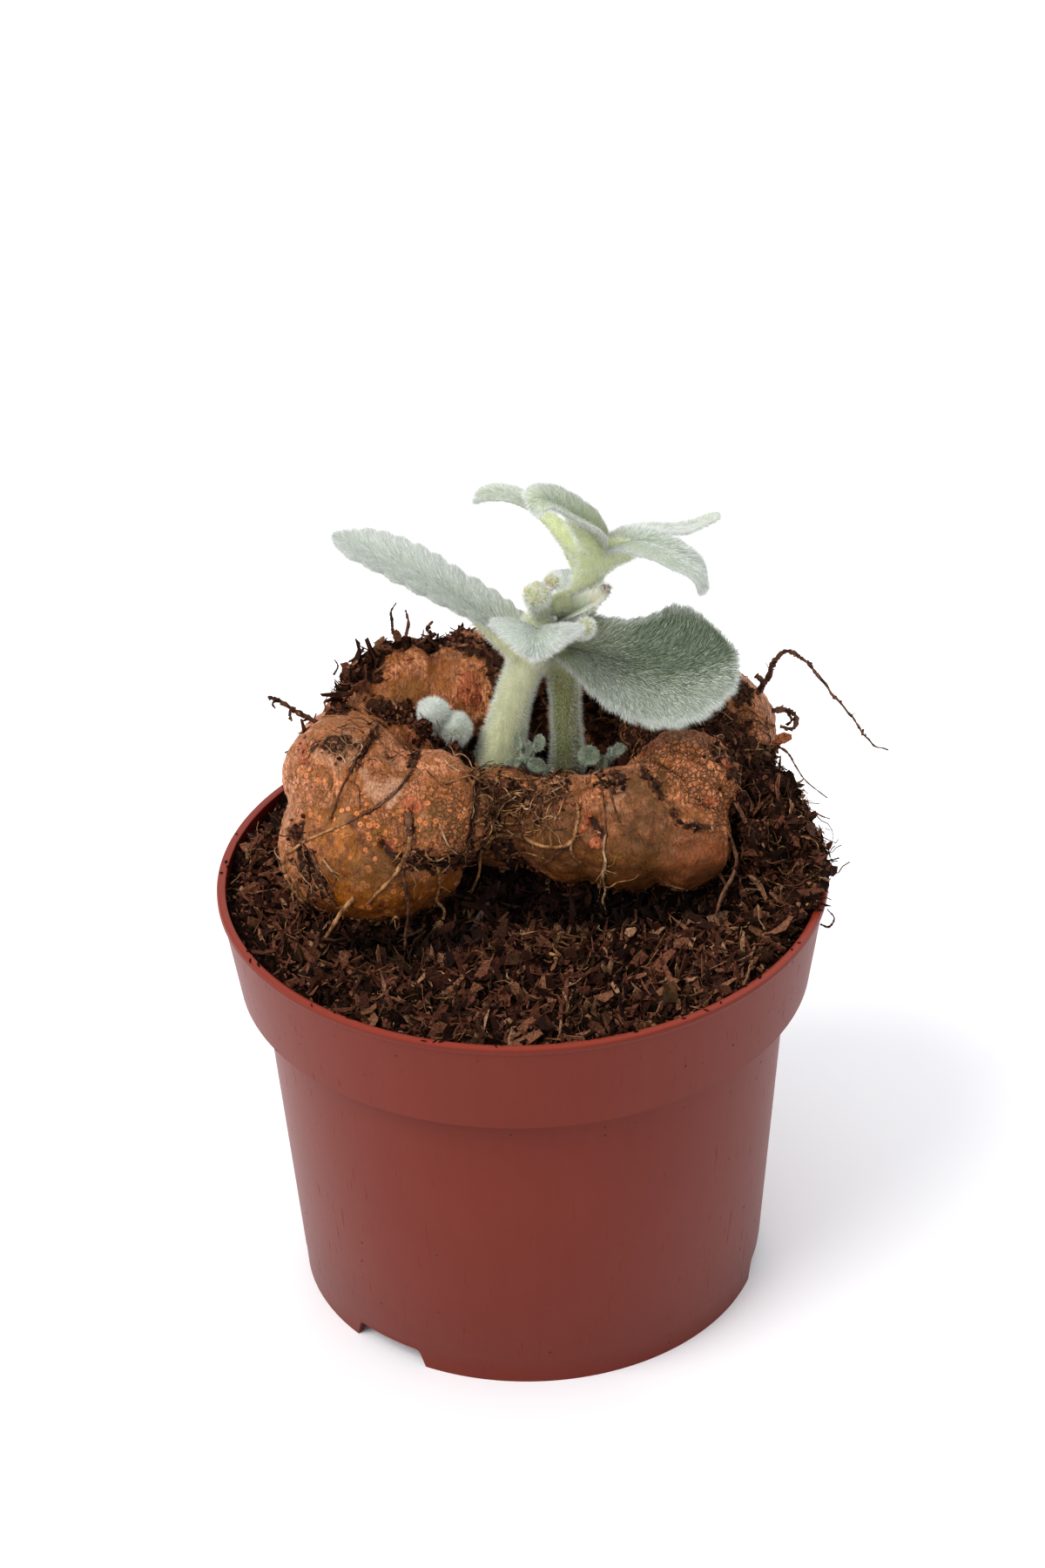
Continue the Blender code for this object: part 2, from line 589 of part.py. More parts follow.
def root(points, lift, surface, count):
    # A thin root. With a surface it is laid on the skin, raised by lift.
    route = smoothRoute(points, count)
    if surface:
        for index, place in enumerate(route):
            near, normal, _, _ = surface.find_nearest(place * MM)
            route[index] = near / MM + normal * lift
    last = len(route) - 1
    radii = [ROOT_RADIUS + (ROOT_TIP_RADIUS - ROOT_RADIUS) * index / last for index in range(last + 1)]
    return tube("root", route, radii, "tuber_skin", 0)


def addRoots(tuber, soil):
    skin = surfaceTree(tuber)
    roots = [root(FREE_ROOT, 0, None, 16)]
    roots += [root(points, 0, None, 6) for points in STUB_ROOTS]
    roots += [root(points, 0.25, skin, 9) for points in SKIN_ROOTS]
    for piece in roots:
        cutClear(piece, [soil])
    boolean(tuber, roots, "UNION")
    keepLargest(tuber)


def leafPoint(leaf, frames, t, s):
    # A point of the blade: t runs from base to tip and s from -1 to 1 across it.
    place, side, up, half, fold = frames[round(t * leaf["along"])]
    across = abs(s)
    if leaf["scallops"]:
        tooth = abs(math.sin(math.pi * leaf["scallops"] * t))
        half *= 1 - leaf["depth"] * (1 - tooth) * across ** 3
    rise = half * (across * math.sin(fold) - leaf["droop"] * across ** 3)
    rise += leaf["ripple"] * across ** 2 * math.sin(math.tau * (RIPPLE_WAVES * t + RIPPLE_SKEW * s))
    return place + side * half * s * math.cos(fold) + up * rise


def leafFrames(leaf):
    count = leaf["along"] + 1
    route = smoothRoute(leaf["midrib"], count)
    faces = smoothRoute(leaf["face"], count)
    halves = smoothValues(leaf["width"], count)
    folds = smoothValues(leaf["fold"], count)
    frames = []
    for index, place in enumerate(route):
        ahead = route[min(index + 1, count - 1)] - route[max(index - 1, 0)]
        side = ahead.cross(faces[index]).normalized()
        up = side.cross(ahead).normalized()
        frames.append((place, side, up, max(halves[index], LEAST_HALF_WIDTH), math.radians(folds[index])))
    return frames


def makeLeaf(name, leaf, look="silver_leaf"):
    # A flat grid is bent to the blade, then thickened: full at the midrib, thinner at the edge.
    frames = leafFrames(leaf)
    bm = bmesh.new()
    bmesh.ops.create_grid(bm, x_segments=leaf["along"], y_segments=leaf["across"], size=1)
    shares = {}
    for vert in bm.verts:
        t = (vert.co.x + 1) / 2
        s = vert.co.y
        vert.co = leafPoint(leaf, frames, t, s)
        shares[vert.index] = 1 - EDGE_THINNING * s * s
    bmesh.ops.triangulate(bm, faces=bm.faces[:])
    bm.normal_update()
    lower = list(bm.verts)
    normals = [vert.normal.copy() for vert in lower]
    grown = bmesh.ops.extrude_face_region(bm, geom=bm.faces[:], use_keep_orig=True)
    upper = [item for item in grown["geom"] if isinstance(item, bmesh.types.BMVert)]
    for index, (low, high) in enumerate(zip(lower, upper)):
        depth = normals[index] * leaf["thickness"] * shares[index] / 2
        low.co -= depth
        high.co += depth
    return addObject(name, bm, look)


def makeStem(name, route, radii, count):
    return tube(name, smoothRoute(route, count), smoothValues(radii, count), "pale_stem", STEM_ROUNDNESS)


def makeStems(tuber):
    left = makeStem("stem_left", LEFT_STEM, LEFT_STEM_RADII, 15)
    right = makeStem("stem_right", RIGHT_STEM, RIGHT_STEM_RADII, 18)
    cutClear(right, [tuber])
    cutClear(left, [tuber, right])
    return [left, right]


def makeSepal(centre, radius, azimuth):
    # A flat pointed cone that leans out from under a knob.
    bm = bmesh.new()
    reach = Matrix.Translation((0, 0, radius * SEPAL_REACH))
    bmesh.ops.create_cone(bm, cap_ends=True, segments=SEPAL_SIDES, radius1=radius * SEPAL_RADIUS,
                          radius2=SEPAL_TIP, depth=radius * SEPAL_LENGTH, matrix=reach)
    bmesh.ops.scale(bm, vec=(SEPAL_FLATNESS, 1, 1), verts=bm.verts[:])
    place = Matrix.Translation(centre - Vector((0, 0, radius * SEPAL_DROP)))
    around = Matrix.Rotation(azimuth, 4, "Z")
    lean = Matrix.Rotation(math.radians(SEPAL_LEAN), 4, "Y")
    bmesh.ops.transform(bm, matrix=place @ around @ lean, verts=bm.verts[:])
    return addObject("sepal", bm, "bud_green")


def makeBuds(name, stalk, knobs, neighbours):
    # Round heads with a ring of florets on top and pointed sepals below, on one short stalk.
    bud = tube(name, smoothRoute(stalk, 4), [BUD_STALK_RADIUS] * 4, "bud_green", 1)
    pieces = []
    for x, y, z, radius in knobs:
        centre = Vector((x, y, z))
        pieces.append(ball("head", centre, (radius, radius, radius), "bud_green"))
        for index in range(FLORETS):
            angle = index * math.tau / FLORETS
            spot = Vector((FLORET_OUT * math.cos(angle), FLORET_OUT * math.sin(angle), FLORET_UP))
            size = radius * FLORET_SIZE
            pieces.append(ball("floret", centre + spot * radius, (size, size, size), "bud_green", 1))
        for index in range(SEPALS):
            pieces.append(makeSepal(centre, radius, (index + 0.5) * math.tau / SEPALS))
    boolean(bud, pieces, "UNION")
    cutClear(bud, neighbours)
    return bud


def makeShoot(name, stalk, knobs, flatness, look, detail, neighbours):
    # A stalk with woolly knobs, or with round leaflets when flatness is well under 1.
    route = smoothRoute(stalk, 5)
    shoot = tube(name, route, [SHOOT_STALK_RADIUS] * 5, look, 1)
    base = route[-2]
    draw = random.Random(SEED)
    pieces = []
    for x, y, z, radius in knobs:
        centre = Vector((x, y, z))
        bm = bmesh.new()
        bmesh.ops.create_icosphere(bm, subdivisions=detail, radius=radius)
        bmesh.ops.scale(bm, vec=(1, LEAFLET_NARROWNESS, flatness), verts=bm.verts[:])
        lean = Matrix.Rotation(math.radians(LEAFLET_LEAN) + draw.uniform(-0.3, 0.3), 4, "X")
        tilt = Matrix.Rotation(draw.uniform(-0.4, 0.4), 4, "Y")
        bmesh.ops.transform(bm, matrix=Matrix.Translation(centre) @ lean @ tilt, verts=bm.verts[:])
        pieces.append(addObject("leaflet", bm, look))
        pieces.append(tube("petiole", [base, base.lerp(centre, 0.6), centre], [PETIOLE_RADIUS] * 3, look, 0))
    boolean(shoot, pieces, "UNION")
    cutClear(shoot, neighbours)
    return shoot


def shiftToOrigin():
    # The bottom centre of the box round all pieces becomes the origin.
    corners = [vert.co for item in bpy.context.scene.objects for vert in item.data.vertices]
    low = Vector([min(corner[axis] for corner in corners) for axis in range(3)])
    high = Vector([max(corner[axis] for corner in corners) for axis in range(3)])
    centre = (low + high) / 2
    for item in bpy.context.scene.objects:
        item.location = (-centre.x, -centre.y, -low.z)


def main():
    clearScene()
    makePot()
    tuber = makeTuber()
    soil = makeSoil(tuber)
    addRoots(tuber, soil)
    stems = makeStems(tuber)
    buds = [makeBuds("flower_buds_left", LEFT_BUD_STALK, LEFT_BUD_KNOBS, stems),
            makeBuds("flower_bud_right", RIGHT_BUD_STALK, RIGHT_BUD_KNOBS, stems)]
    base = [tuber] + stems
    shoots = [makeShoot("shoot_woolly", WOOLLY_SHOOT_STALK, WOOLLY_SHOOT_KNOBS, 0.95, "woolly_white", 2,
                        base),
              makeShoot("sucker_right", RIGHT_SUCKER_STALK, RIGHT_SUCKER_LEAFLETS, 0.45, "silver_leaf", 2,
                        base),
              makeShoot("sucker_middle", MIDDLE_SUCKER_STALK, MIDDLE_SUCKER_LEAFLETS, 0.6, "silver_leaf", 1,
                        base)]
    done = stems + [tuber]
    for name, leaf in LEAVES.items():
        blade = makeLeaf(name, leaf)
        cutClear(blade, done, buds + shoots)
        done.append(blade)
    for item in bpy.context.scene.objects:
        item.data.shade_smooth()
        item.data.set_sharp_from_angle(angle=math.radians(35))
    shiftToOrigin()


main()
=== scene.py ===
# Looks of the potted Brazilian edelweiss: pot, soil, tuber, roots, stems, leaves, buds and fur.
# Lengths are millimetres round the pot's axis. settle() turns a piece into metres in the frame.
import json
import math
import random

import bmesh
import bpy
from mathutils import Matrix, Vector, noise
from mathutils.bvhtree import BVHTree

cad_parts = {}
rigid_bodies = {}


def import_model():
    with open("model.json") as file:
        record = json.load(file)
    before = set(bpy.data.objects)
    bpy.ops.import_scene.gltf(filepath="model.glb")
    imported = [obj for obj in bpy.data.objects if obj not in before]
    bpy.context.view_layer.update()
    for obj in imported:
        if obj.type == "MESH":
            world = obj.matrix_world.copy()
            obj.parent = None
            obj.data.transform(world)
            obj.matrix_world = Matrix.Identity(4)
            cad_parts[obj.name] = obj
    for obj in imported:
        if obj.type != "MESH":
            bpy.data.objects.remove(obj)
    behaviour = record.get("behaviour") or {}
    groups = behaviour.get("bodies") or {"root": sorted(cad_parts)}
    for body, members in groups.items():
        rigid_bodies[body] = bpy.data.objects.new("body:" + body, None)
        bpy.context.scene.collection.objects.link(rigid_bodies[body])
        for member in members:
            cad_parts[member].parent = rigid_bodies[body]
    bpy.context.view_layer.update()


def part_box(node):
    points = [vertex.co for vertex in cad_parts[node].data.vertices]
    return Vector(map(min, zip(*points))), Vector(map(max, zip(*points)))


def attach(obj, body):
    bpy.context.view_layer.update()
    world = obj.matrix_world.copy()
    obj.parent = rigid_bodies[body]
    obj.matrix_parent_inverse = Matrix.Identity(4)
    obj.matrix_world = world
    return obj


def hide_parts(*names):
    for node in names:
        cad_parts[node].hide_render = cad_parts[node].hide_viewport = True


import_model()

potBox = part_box("pot")
mm = 0.001
potAxis = Vector(((potBox[0].x + potBox[1].x) / 2, (potBox[0].y + potBox[1].y) / 2, 0))
print("frame loaded")


# Camera: the photograph's view, and rays through its pixels

view = {
    "lens": 99.98,
    "sensor": 36.0,
    "distance": 843.35,
    "aim": (0.4933, 0, 110.42),
    "down": 31.8689,   # degrees below the horizon
    "roll": -1.5831,
    "width": 1200,     # the picture's size in pixels
    "height": 1800,
}


def makeCamera():
    data = bpy.data.cameras.new("camera")
    data.lens = view["lens"]
    data.sensor_width = view["sensor"]
    data.clip_start = 0.05
    data.clip_end = 20
    camera = bpy.data.objects.new("camera", data)
    bpy.context.scene.collection.objects.link(camera)
    down = math.radians(view["down"])
    ahead = Vector((0, math.cos(down), -math.sin(down)))
    turn = ahead.to_track_quat("-Z", "Y").to_matrix() @ Matrix.Rotation(math.radians(view["roll"]), 3, "Z")
    spot = Vector(view["aim"]) - ahead * view["distance"]
    camera.matrix_world = Matrix.Translation(spot * mm + potAxis) @ turn.to_4x4()
    bpy.context.scene.camera = camera
    return spot, turn


eye, eyeTurn = makeCamera()


def pixelRay(u, v):
    # direction from the eye through a pixel of the photograph
    reach = view["lens"] / view["sensor"] * view["height"]
    local = Vector(((u - view["width"] / 2) / reach, (view["height"] / 2 - v) / reach, -1))
    return (eyeTurn @ local).normalized()


def atDepth(u, v, y):
    # the point of a pixel's ray that lies at depth y
    ray = pixelRay(u, v)
    return eye + ray * ((y - eye.y) / ray.y)


# Node trees: formulas on sockets

def formula(operation, swapped=False):
    def apply(self, other):
        ends = (other, self) if swapped else (self, other)
        return self.net.maths(operation, *ends)
    return apply


class Link:
    # a socket that can stand in a formula
    __add__ = formula("ADD")
    __radd__ = formula("ADD", True)
    __sub__ = formula("SUBTRACT")
    __rsub__ = formula("SUBTRACT", True)
    __mul__ = formula("MULTIPLY")
    __rmul__ = formula("MULTIPLY", True)
    __truediv__ = formula("DIVIDE")
    __pow__ = formula("POWER")

    def __init__(self, net, socket):
        self.net = net
        self.socket = socket


class Net:
    # a node tree and the few ways in which nodes are added to it

    def __init__(self, tree):
        self.tree = tree

    def plug(self, socket, value):
        if isinstance(value, Link):
            self.tree.links.new(value.socket, socket)
        else:
            socket.default_value = value

    def node(self, kind, settings=None, values=None, out=0):
        made = self.tree.nodes.new(kind)
        for key, value in (settings or {}).items():
            if key == "stops":
                ramp = made.color_ramp
                while len(ramp.elements) < len(value):
                    ramp.elements.new(0.5)
                for element, (position, colour) in zip(ramp.elements, value):
                    element.position = position
                    element.color = (*colour, 1)
            else:
                setattr(made, key, value)
        for key, value in (values or {}).items():
            self.plug(made.inputs[key], value)
        return Link(self, made.outputs[out])

    def maths(self, operation, first, second=0.0):
        return self.node("ShaderNodeMath", {"operation": operation}, {0: first, 1: second})

    def vectors(self, operation, first, second, out="Vector"):
        return self.node("ShaderNodeVectorMath", {"operation": operation}, {0: first, 1: second}, out)


class Paint(Net):
    # a material with its Principled shader

    def __init__(self, name, roughness=0.7, **constants):
        self.material = bpy.data.materials.new(name)
        self.material.use_nodes = True
        super().__init__(self.material.node_tree)
        self.shader = self.tree.nodes["Principled BSDF"]
        self.shader.inputs["Roughness"].default_value = roughness
        for key, value in constants.items():
            self.shader.inputs[key.replace("_", " ")].default_value = value
        coords = self.node("ShaderNodeTexCoord", out="Object")
        centre = (-potAxis.x / mm, -potAxis.y / mm, 0)
        self.spot = coords
        self.spot = self.stretched((1 / mm,) * 3, place=centre)

    def stretched(self, scale, turn=(0, 0, 0), place=(0, 0, 0)):
        values = {"Vector": self.spot, "Location": place, "Scale": scale, "Rotation": turn}
        return self.node("ShaderNodeMapping", {}, values)

    def noise(self, scale, detail=3.0, source=None, distortion=0.0, rough=0.55):
        values = {"Vector": source or self.spot, "Scale": scale, "Detail": detail, "Roughness": rough,
                  "Distortion": distortion}
        return self.node("ShaderNodeTexNoise", {}, values, "Fac")

    def cells(self, scale, feature="F1", out="Distance", source=None):
        values = {"Vector": source or self.spot, "Scale": scale}
        return self.node("ShaderNodeTexVoronoi", {"feature": feature}, values, out)

    def lots(self, scale):
        # a number drawn for each cell
        return self.node("ShaderNodeSeparateColor", {}, {0: self.cells(scale, out="Color")}, 0)

    def specks(self, scale, edge, drawn):
        # dots in the middle of those cells whose number lies above drawn
        return self.between(self.cells(scale), *edge) * self.between(self.lots(scale), *drawn)

    def between(self, value, low, high):
        # 0 below low, 1 above high, smooth in between
        return self.node("ShaderNodeMapRange", {"interpolation_type": "SMOOTHSTEP"},
                         {"Value": value, "From Min": low, "From Max": high})

    def attribute(self, name):
        return self.node("ShaderNodeAttribute", {"attribute_name": name}, out="Fac")

    def axis(self, letter):
        return self.node("ShaderNodeSeparateXYZ", {}, {0: self.spot}, letter)

    def mix(self, factor, first, second):
        first, second = (value if isinstance(value, Link) else (*value, 1) for value in (first, second))
        return self.node("ShaderNodeMix", {"data_type": "RGBA"}, {0: factor, 6: first, 7: second}, 2)

    def ramp(self, value, stops):
        return self.node("ShaderNodeValToRGB", {"stops": stops}, {0: value}, "Color")

    def bump(self, height, distance):
        # distance is the relief's depth in millimetres
        values = {"Height": height, "Distance": distance * mm, "Strength": 1.0}
        self.plug(self.shader.inputs["Normal"], self.node("ShaderNodeBump", {}, values, "Normal"))

    def colour(self, value):
        self.plug(self.shader.inputs["Base Color"], value if isinstance(value, Link) else (*value, 1))

    def gloss(self, value):
        self.plug(self.shader.inputs["Roughness"], value)


# Mesh helpers

def clamped(value):
    return min(max(value, 0), 1)


def anyWay(draw, reach=1):
    return Vector([draw.uniform(-reach, reach) for _ in range(3)])


def addObject(name, data):
    made = bpy.data.objects.new(name, data)
    bpy.context.scene.collection.objects.link(made)
    return made


def finished(name, bm):
    mesh = bpy.data.meshes.new(name)
    bm.to_mesh(mesh)
    bm.free()
    return mesh


def meshCopy(*meshes):
    bm = bmesh.new()
    for mesh in meshes:
        bm.from_mesh(mesh)
    return bm


def settle(name, source, paint, replaced=(), smooth=True):
    # millimetres round the pot's axis become metres in the frame, on a piece that rides on the body
    bm = meshCopy(source) if isinstance(source, bpy.types.Mesh) else source
    bmesh.ops.scale(bm, vec=(mm, mm, mm), verts=bm.verts[:])
    bmesh.ops.translate(bm, vec=potAxis, verts=bm.verts[:])
    triangles = sum(len(face.verts) - 2 for face in bm.faces)
    mesh = finished(name, bm)
    mesh.materials.clear()
    mesh.materials.append(paint.material)
    if smooth:
        mesh.shade_smooth()
    piece = addObject(name, mesh)
    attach(piece, "root")
    if replaced:
        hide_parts(*replaced)
    print("  ", name, triangles, "triangles")
    return piece


def draft(name, bm):
    # a working object in millimetres, not part of the model
    return addObject(name, finished(name, bm))


def evaluated(item):
    graph = bpy.context.evaluated_depsgraph_get()
    mesh = bpy.data.meshes.new_from_object(item.evaluated_get(graph))
    bpy.data.objects.remove(item)
    return mesh


def surfaceOf(*meshes):
    # a search tree over meshes in millimetres
    bm = meshCopy(*meshes)
    tree = BVHTree.FromBMesh(bm)
    bm.free()
    return tree


def fused(bm, voxel, smoothing):
    # joins bodies that overlap into one skin and evens it out
    body = draft("fused", bm)
    join = body.modifiers.new("join", "REMESH")
    join.mode = "VOXEL"
    join.voxel_size = voxel
    skin = meshCopy(evaluated(body))
    for _ in range(smoothing):
        bmesh.ops.smooth_vert(skin, verts=skin.verts[:], factor=0.5, use_axis_x=True, use_axis_y=True,
                              use_axis_z=True)
    return skin


def addKnob(bm, centre, radius, detail, swell):
    # a ball whose points are drawn out from its centre by swell(point)
    place = Matrix.Translation(centre)
    grown = bmesh.ops.create_icosphere(bm, subdivisions=detail, radius=radius, matrix=place)
    for vert in grown["verts"]:
        vert.co = centre + (vert.co - centre) * swell(vert.co)
    return grown["verts"]


def smoothRoute(points, count):
    # even steps on a curve through the given points
    knots = [Vector(point) for point in points]
    knots = [knots[0] * 2 - knots[1]] + knots + [knots[-1] * 2 - knots[-2]]
    spans = len(points) - 1
    route = []
    for step in range(count):
        place = step / (count - 1) * spans
        span = min(int(place), spans - 1)
        u = place - span
        before, start, end, after = knots[span:span + 4]
        route.append(0.5 * (2 * start + (end - before) * u
                            + (2 * before - 5 * start + 4 * end - after) * u * u
                            + (3 * start - before - 3 * end + after) * u ** 3))
    return route


def smoothValues(values, count):
    return [point.x for point in smoothRoute([(value, 0, 0) for value in values], count)]


def strands(routes, roundness=0):
    # one mesh of many round strands; a route is a list of (place, radius)
    curve = bpy.data.curves.new("strands", "CURVE")
    curve.dimensions = "3D"
    curve.bevel_depth = 1
    curve.bevel_resolution = roundness
    curve.use_fill_caps = True
    for route in routes:
        spline = curve.splines.new("POLY")
        spline.points.add(len(route) - 1)
        for point, (place, radius) in zip(spline.points, route):
            point.co = (*place, 1)
            point.radius = radius
    return evaluated(addObject("strands", curve))


def tapered(route, thick, thin, knobs=0.0, draw=random):
    # gives a route its radii, with small random swellings
    last = len(route) - 1
    return [(place, (thick + (thin - thick) * index / last) * (1 + draw.uniform(-knobs, knobs)))
            for index, place in enumerate(route)]


def markVerts(mesh, name, values, kind="FLOAT"):
    data = mesh.attributes.new(name, kind, "POINT")
    if kind == "FLOAT":
        data.data.foreach_set("value", values)
    else:
        data.data.foreach_set("vector", [number for value in values for number in value])


# Scattering: copies of small shapes are sown on a surface and made real

def scatter(surface, shapes, perArea, size, seed, mask=None, lean=0.0, jitter=0.3, comb=None, lift=0.0):
    # size holds the least and greatest scale; lean pulls the shapes' Z axis along comb; shapes are used up
    carrier = draft("sown", meshCopy(surface))
    tree = bpy.data.node_groups.new("sowing", "GeometryNodeTree")
    tree.interface.new_socket("Geometry", in_out="INPUT", socket_type="NodeSocketGeometry")
    tree.interface.new_socket("Geometry", in_out="OUTPUT", socket_type="NodeSocketGeometry")
    net = Net(tree)

    def stored(name, kind):
        return net.node("GeometryNodeInputNamedAttribute", {"data_type": kind}, {"Name": name})

    def scaled(vector, factor):
        return net.node("ShaderNodeVectorMath", {"operation": "SCALE"}, {0: vector, "Scale": factor})

    def draw(low, high, number, kind="FLOAT"):
        first = {"FLOAT_VECTOR": 0, "FLOAT": 2, "INT": 4}[kind]
        values = {first: low, first + 1: high, "Seed": number}
        return net.node("FunctionNodeRandomValue", {"data_type": kind}, values, first // 2)

    values = {"Mesh": net.node("NodeGroupInput"), "Seed": seed,
              "Density": stored(mask, "FLOAT") * perArea if mask else perArea}
    points = net.node("GeometryNodeDistributePointsOnFaces", {}, values, "Points")
    normal = Link(net, points.socket.node.outputs["Normal"])
    aim = net.vectors("ADD", normal, scaled(draw((-1, -1, -1), (1, 1, 1), seed + 1, "FLOAT_VECTOR"), jitter))
    if lean:
        aim = net.vectors("ADD", aim, scaled(stored(comb, "FLOAT_VECTOR"), lean))
    turned = net.node("FunctionNodeAlignRotationToVector", {"axis": "Z"}, {"Vector": aim})
    twist = net.node("FunctionNodeAxisAngleToRotation", {},
                     {"Axis": (0, 0, 1), "Angle": draw(0.0, math.tau, seed + 2)})
    turned = net.node("FunctionNodeRotateRotation", {"rotation_space": "LOCAL"},
                      {"Rotation": turned, "Rotate By": twist})
    if lift:
        points = net.node("GeometryNodeSetPosition", {}, {"Geometry": points, "Offset": scaled(normal, lift)})
    folder = bpy.data.collections.new("shapes")
    bpy.context.scene.collection.children.link(folder)
    for shape in shapes:
        folder.objects.link(shape)
    picked = net.node("GeometryNodeCollectionInfo", {},
                      {"Collection": folder, "Separate Children": True, "Reset Children": True})
    sown = net.node("GeometryNodeInstanceOnPoints", {},
                    {"Points": points, "Instance": picked, "Pick Instance": True, "Rotation": turned,
                     "Scale": draw(*size, seed + 3),
                     "Instance Index": draw(0, len(shapes) - 1, seed + 4, "INT")})
    sown = net.node("GeometryNodeStoreNamedAttribute", {"data_type": "FLOAT", "domain": "INSTANCE"},
                    {"Geometry": sown, "Name": "tone", "Value": draw(0.0, 1.0, seed + 5)})
    real = net.node("GeometryNodeRealizeInstances", {}, {"Geometry": sown})
    net.plug(tree.nodes.new("NodeGroupOutput").inputs[0], real)
    carrier.modifiers.new("sowing", "NODES").node_group = tree
    mesh = evaluated(carrier)
    bpy.data.collections.remove(folder)
    for shape in shapes:
        bpy.data.objects.remove(shape)
    return mesh


def several(make, name, seed, *sizes):
    # one shape for each row of sizes, each with a seed of its own
    return [make(name, seed + index, *row) for index, row in enumerate(sizes)]


def lump(name, seed, radii, roughness=0.25):
    # an irregular crumb or chip; a flat one has a small third radius
    bm = bmesh.new()
    bmesh.ops.create_icosphere(bm, subdivisions=1, radius=1)
    draw = random.Random(seed)
    for vert in bm.verts:
        vert.co *= 1 + draw.uniform(-roughness, roughness)
    bmesh.ops.scale(bm, vec=radii, verts=bm.verts[:])
    return draft(name, bm)


def flake(name, seed, length, width, curl):
    # a thin curled chip of bark or leaf, with a top and an underside
    draw = random.Random(seed)
    bm = bmesh.new()
    bmesh.ops.create_grid(bm, x_segments=2, y_segments=1, size=0.5)
    for vert in bm.verts:
        vert.co.y *= width * (1 - abs(vert.co.x) * draw.uniform(0.3, 1.3)) * draw.uniform(0.7, 1.2)
        vert.co.x = (vert.co.x + draw.uniform(-0.14, 0.14)) * length
        vert.co.z = curl * (vert.co.x ** 2 / length + vert.co.y ** 2 / width) + draw.uniform(-0.14, 0.14)
    grown = bmesh.ops.extrude_face_region(bm, geom=bm.faces[:], use_keep_orig=True)
    lifted = [item for item in grown["geom"] if isinstance(item, bmesh.types.BMVert)]
    bmesh.ops.translate(bm, vec=(0, 0, 0.16), verts=lifted)
    bmesh.ops.recalc_face_normals(bm, faces=bm.faces[:])
    return draft(name, bm)


def fibre(name, seed, length, radius, bend):
    # a short crooked root hair that lies across its own Z axis
    draw = random.Random(seed)
    place = Vector((-length / 2, 0, 0))
    way = Vector((1, 0, 0))
    route = []
    steps = 6
    for _ in range(steps):
        route.append(place.copy())
        way = (way + anyWay(draw, bend) * 0.8).normalized()
        place = place + way * length / steps
    return draft(name, meshCopy(strands([tapered(route, radius, radius * 0.5)])))


# Room: a pale floor, a white surround and soft light from the left

room = {
    "floorSize": 9.0,
    "floorColour": (0.92, 0.925, 0.945),
    "surround": (0.975, 0.985, 1.0),
    "surroundStrength": 0.80,
    "look": "Medium High Contrast",
    "lamps": {
        # direction it comes from, its width in degrees, strength, colour
        "key": ((-0.62, -0.42, 0.80), 38.0, 1.75, (1.0, 0.985, 0.97)),
        "back": ((0.25, 0.75, 0.75), 50.0, 0.45, (1.0, 1.0, 1.0)),
    },
}


def makeRoom():
    world = bpy.data.worlds.new("surround")
    world.use_nodes = True
    shade = world.node_tree.nodes["Background"]
    shade.inputs["Color"].default_value = (*room["surround"], 1)
    shade.inputs["Strength"].default_value = room["surroundStrength"]
    bpy.context.scene.world = world
    bpy.context.scene.view_settings.view_transform = "Standard"
    bpy.context.scene.view_settings.look = room["look"]
    for name, (source, width, strength, colour) in room["lamps"].items():
        lamp = bpy.data.lights.new(name, "SUN")
        lamp.angle = math.radians(width)
        lamp.energy = strength
        lamp.color = colour
        holder = addObject(name, lamp)
        holder.matrix_world = Vector(source).to_track_quat("Z", "Y").to_matrix().to_4x4()
    paint = Paint("paleFloor", 0.55)
    paint.colour(room["floorColour"])
    bm = bmesh.new()
    bmesh.ops.create_grid(bm, x_segments=1, y_segments=1, size=room["floorSize"] / 2)
    mesh = finished("floor", bm)
    mesh.materials.append(paint.material)
    floor = addObject("floor", mesh)


makeRoom()
print("room made")


# Pot: one turned wall with rounded lips, notched and drilled

pot = {
    "height": 90.0,
    "rimRadius": 60.0,
    "collarRadius": 56.6,
    "collarHeight": 20.7,
    "wallTopRadius": 52.2,
    "baseRadius": 46.5,
    "wall": 1.1,
    "lipWidth": 1.8,
    "lipHeight": 1.6,
    "footHeight": 4.2,
    "footWidth": 1.6,
    "floorThickness": 1.2,
    "stepHeight": 5.6,       # a faint line round the wall just over the foot
    "segments": 192,
    "notches": (111.0, 231.0, 351.0),
    "notchWidth": 20.0,
    "notchHeight": 4.0,
    "notchSlant": 2.5,
    "notchReach": 5.0,
    "drainRadius": 4.0,
    "drainCircle": 36.0,
    "centreHole": 5.0,
}


def innerRadius(height):
    ledge = pot["height"] - pot["collarHeight"]
    if height < ledge + pot["wall"]:
        share = min(height / ledge, 1)
        return pot["baseRadius"] + (pot["wallTopRadius"] - pot["baseRadius"]) * share - pot["wall"]
    share = (height - ledge) / pot["collarHeight"]
    return pot["collarRadius"] + (pot["rimRadius"] - pot["collarRadius"]) * share - pot["wall"]


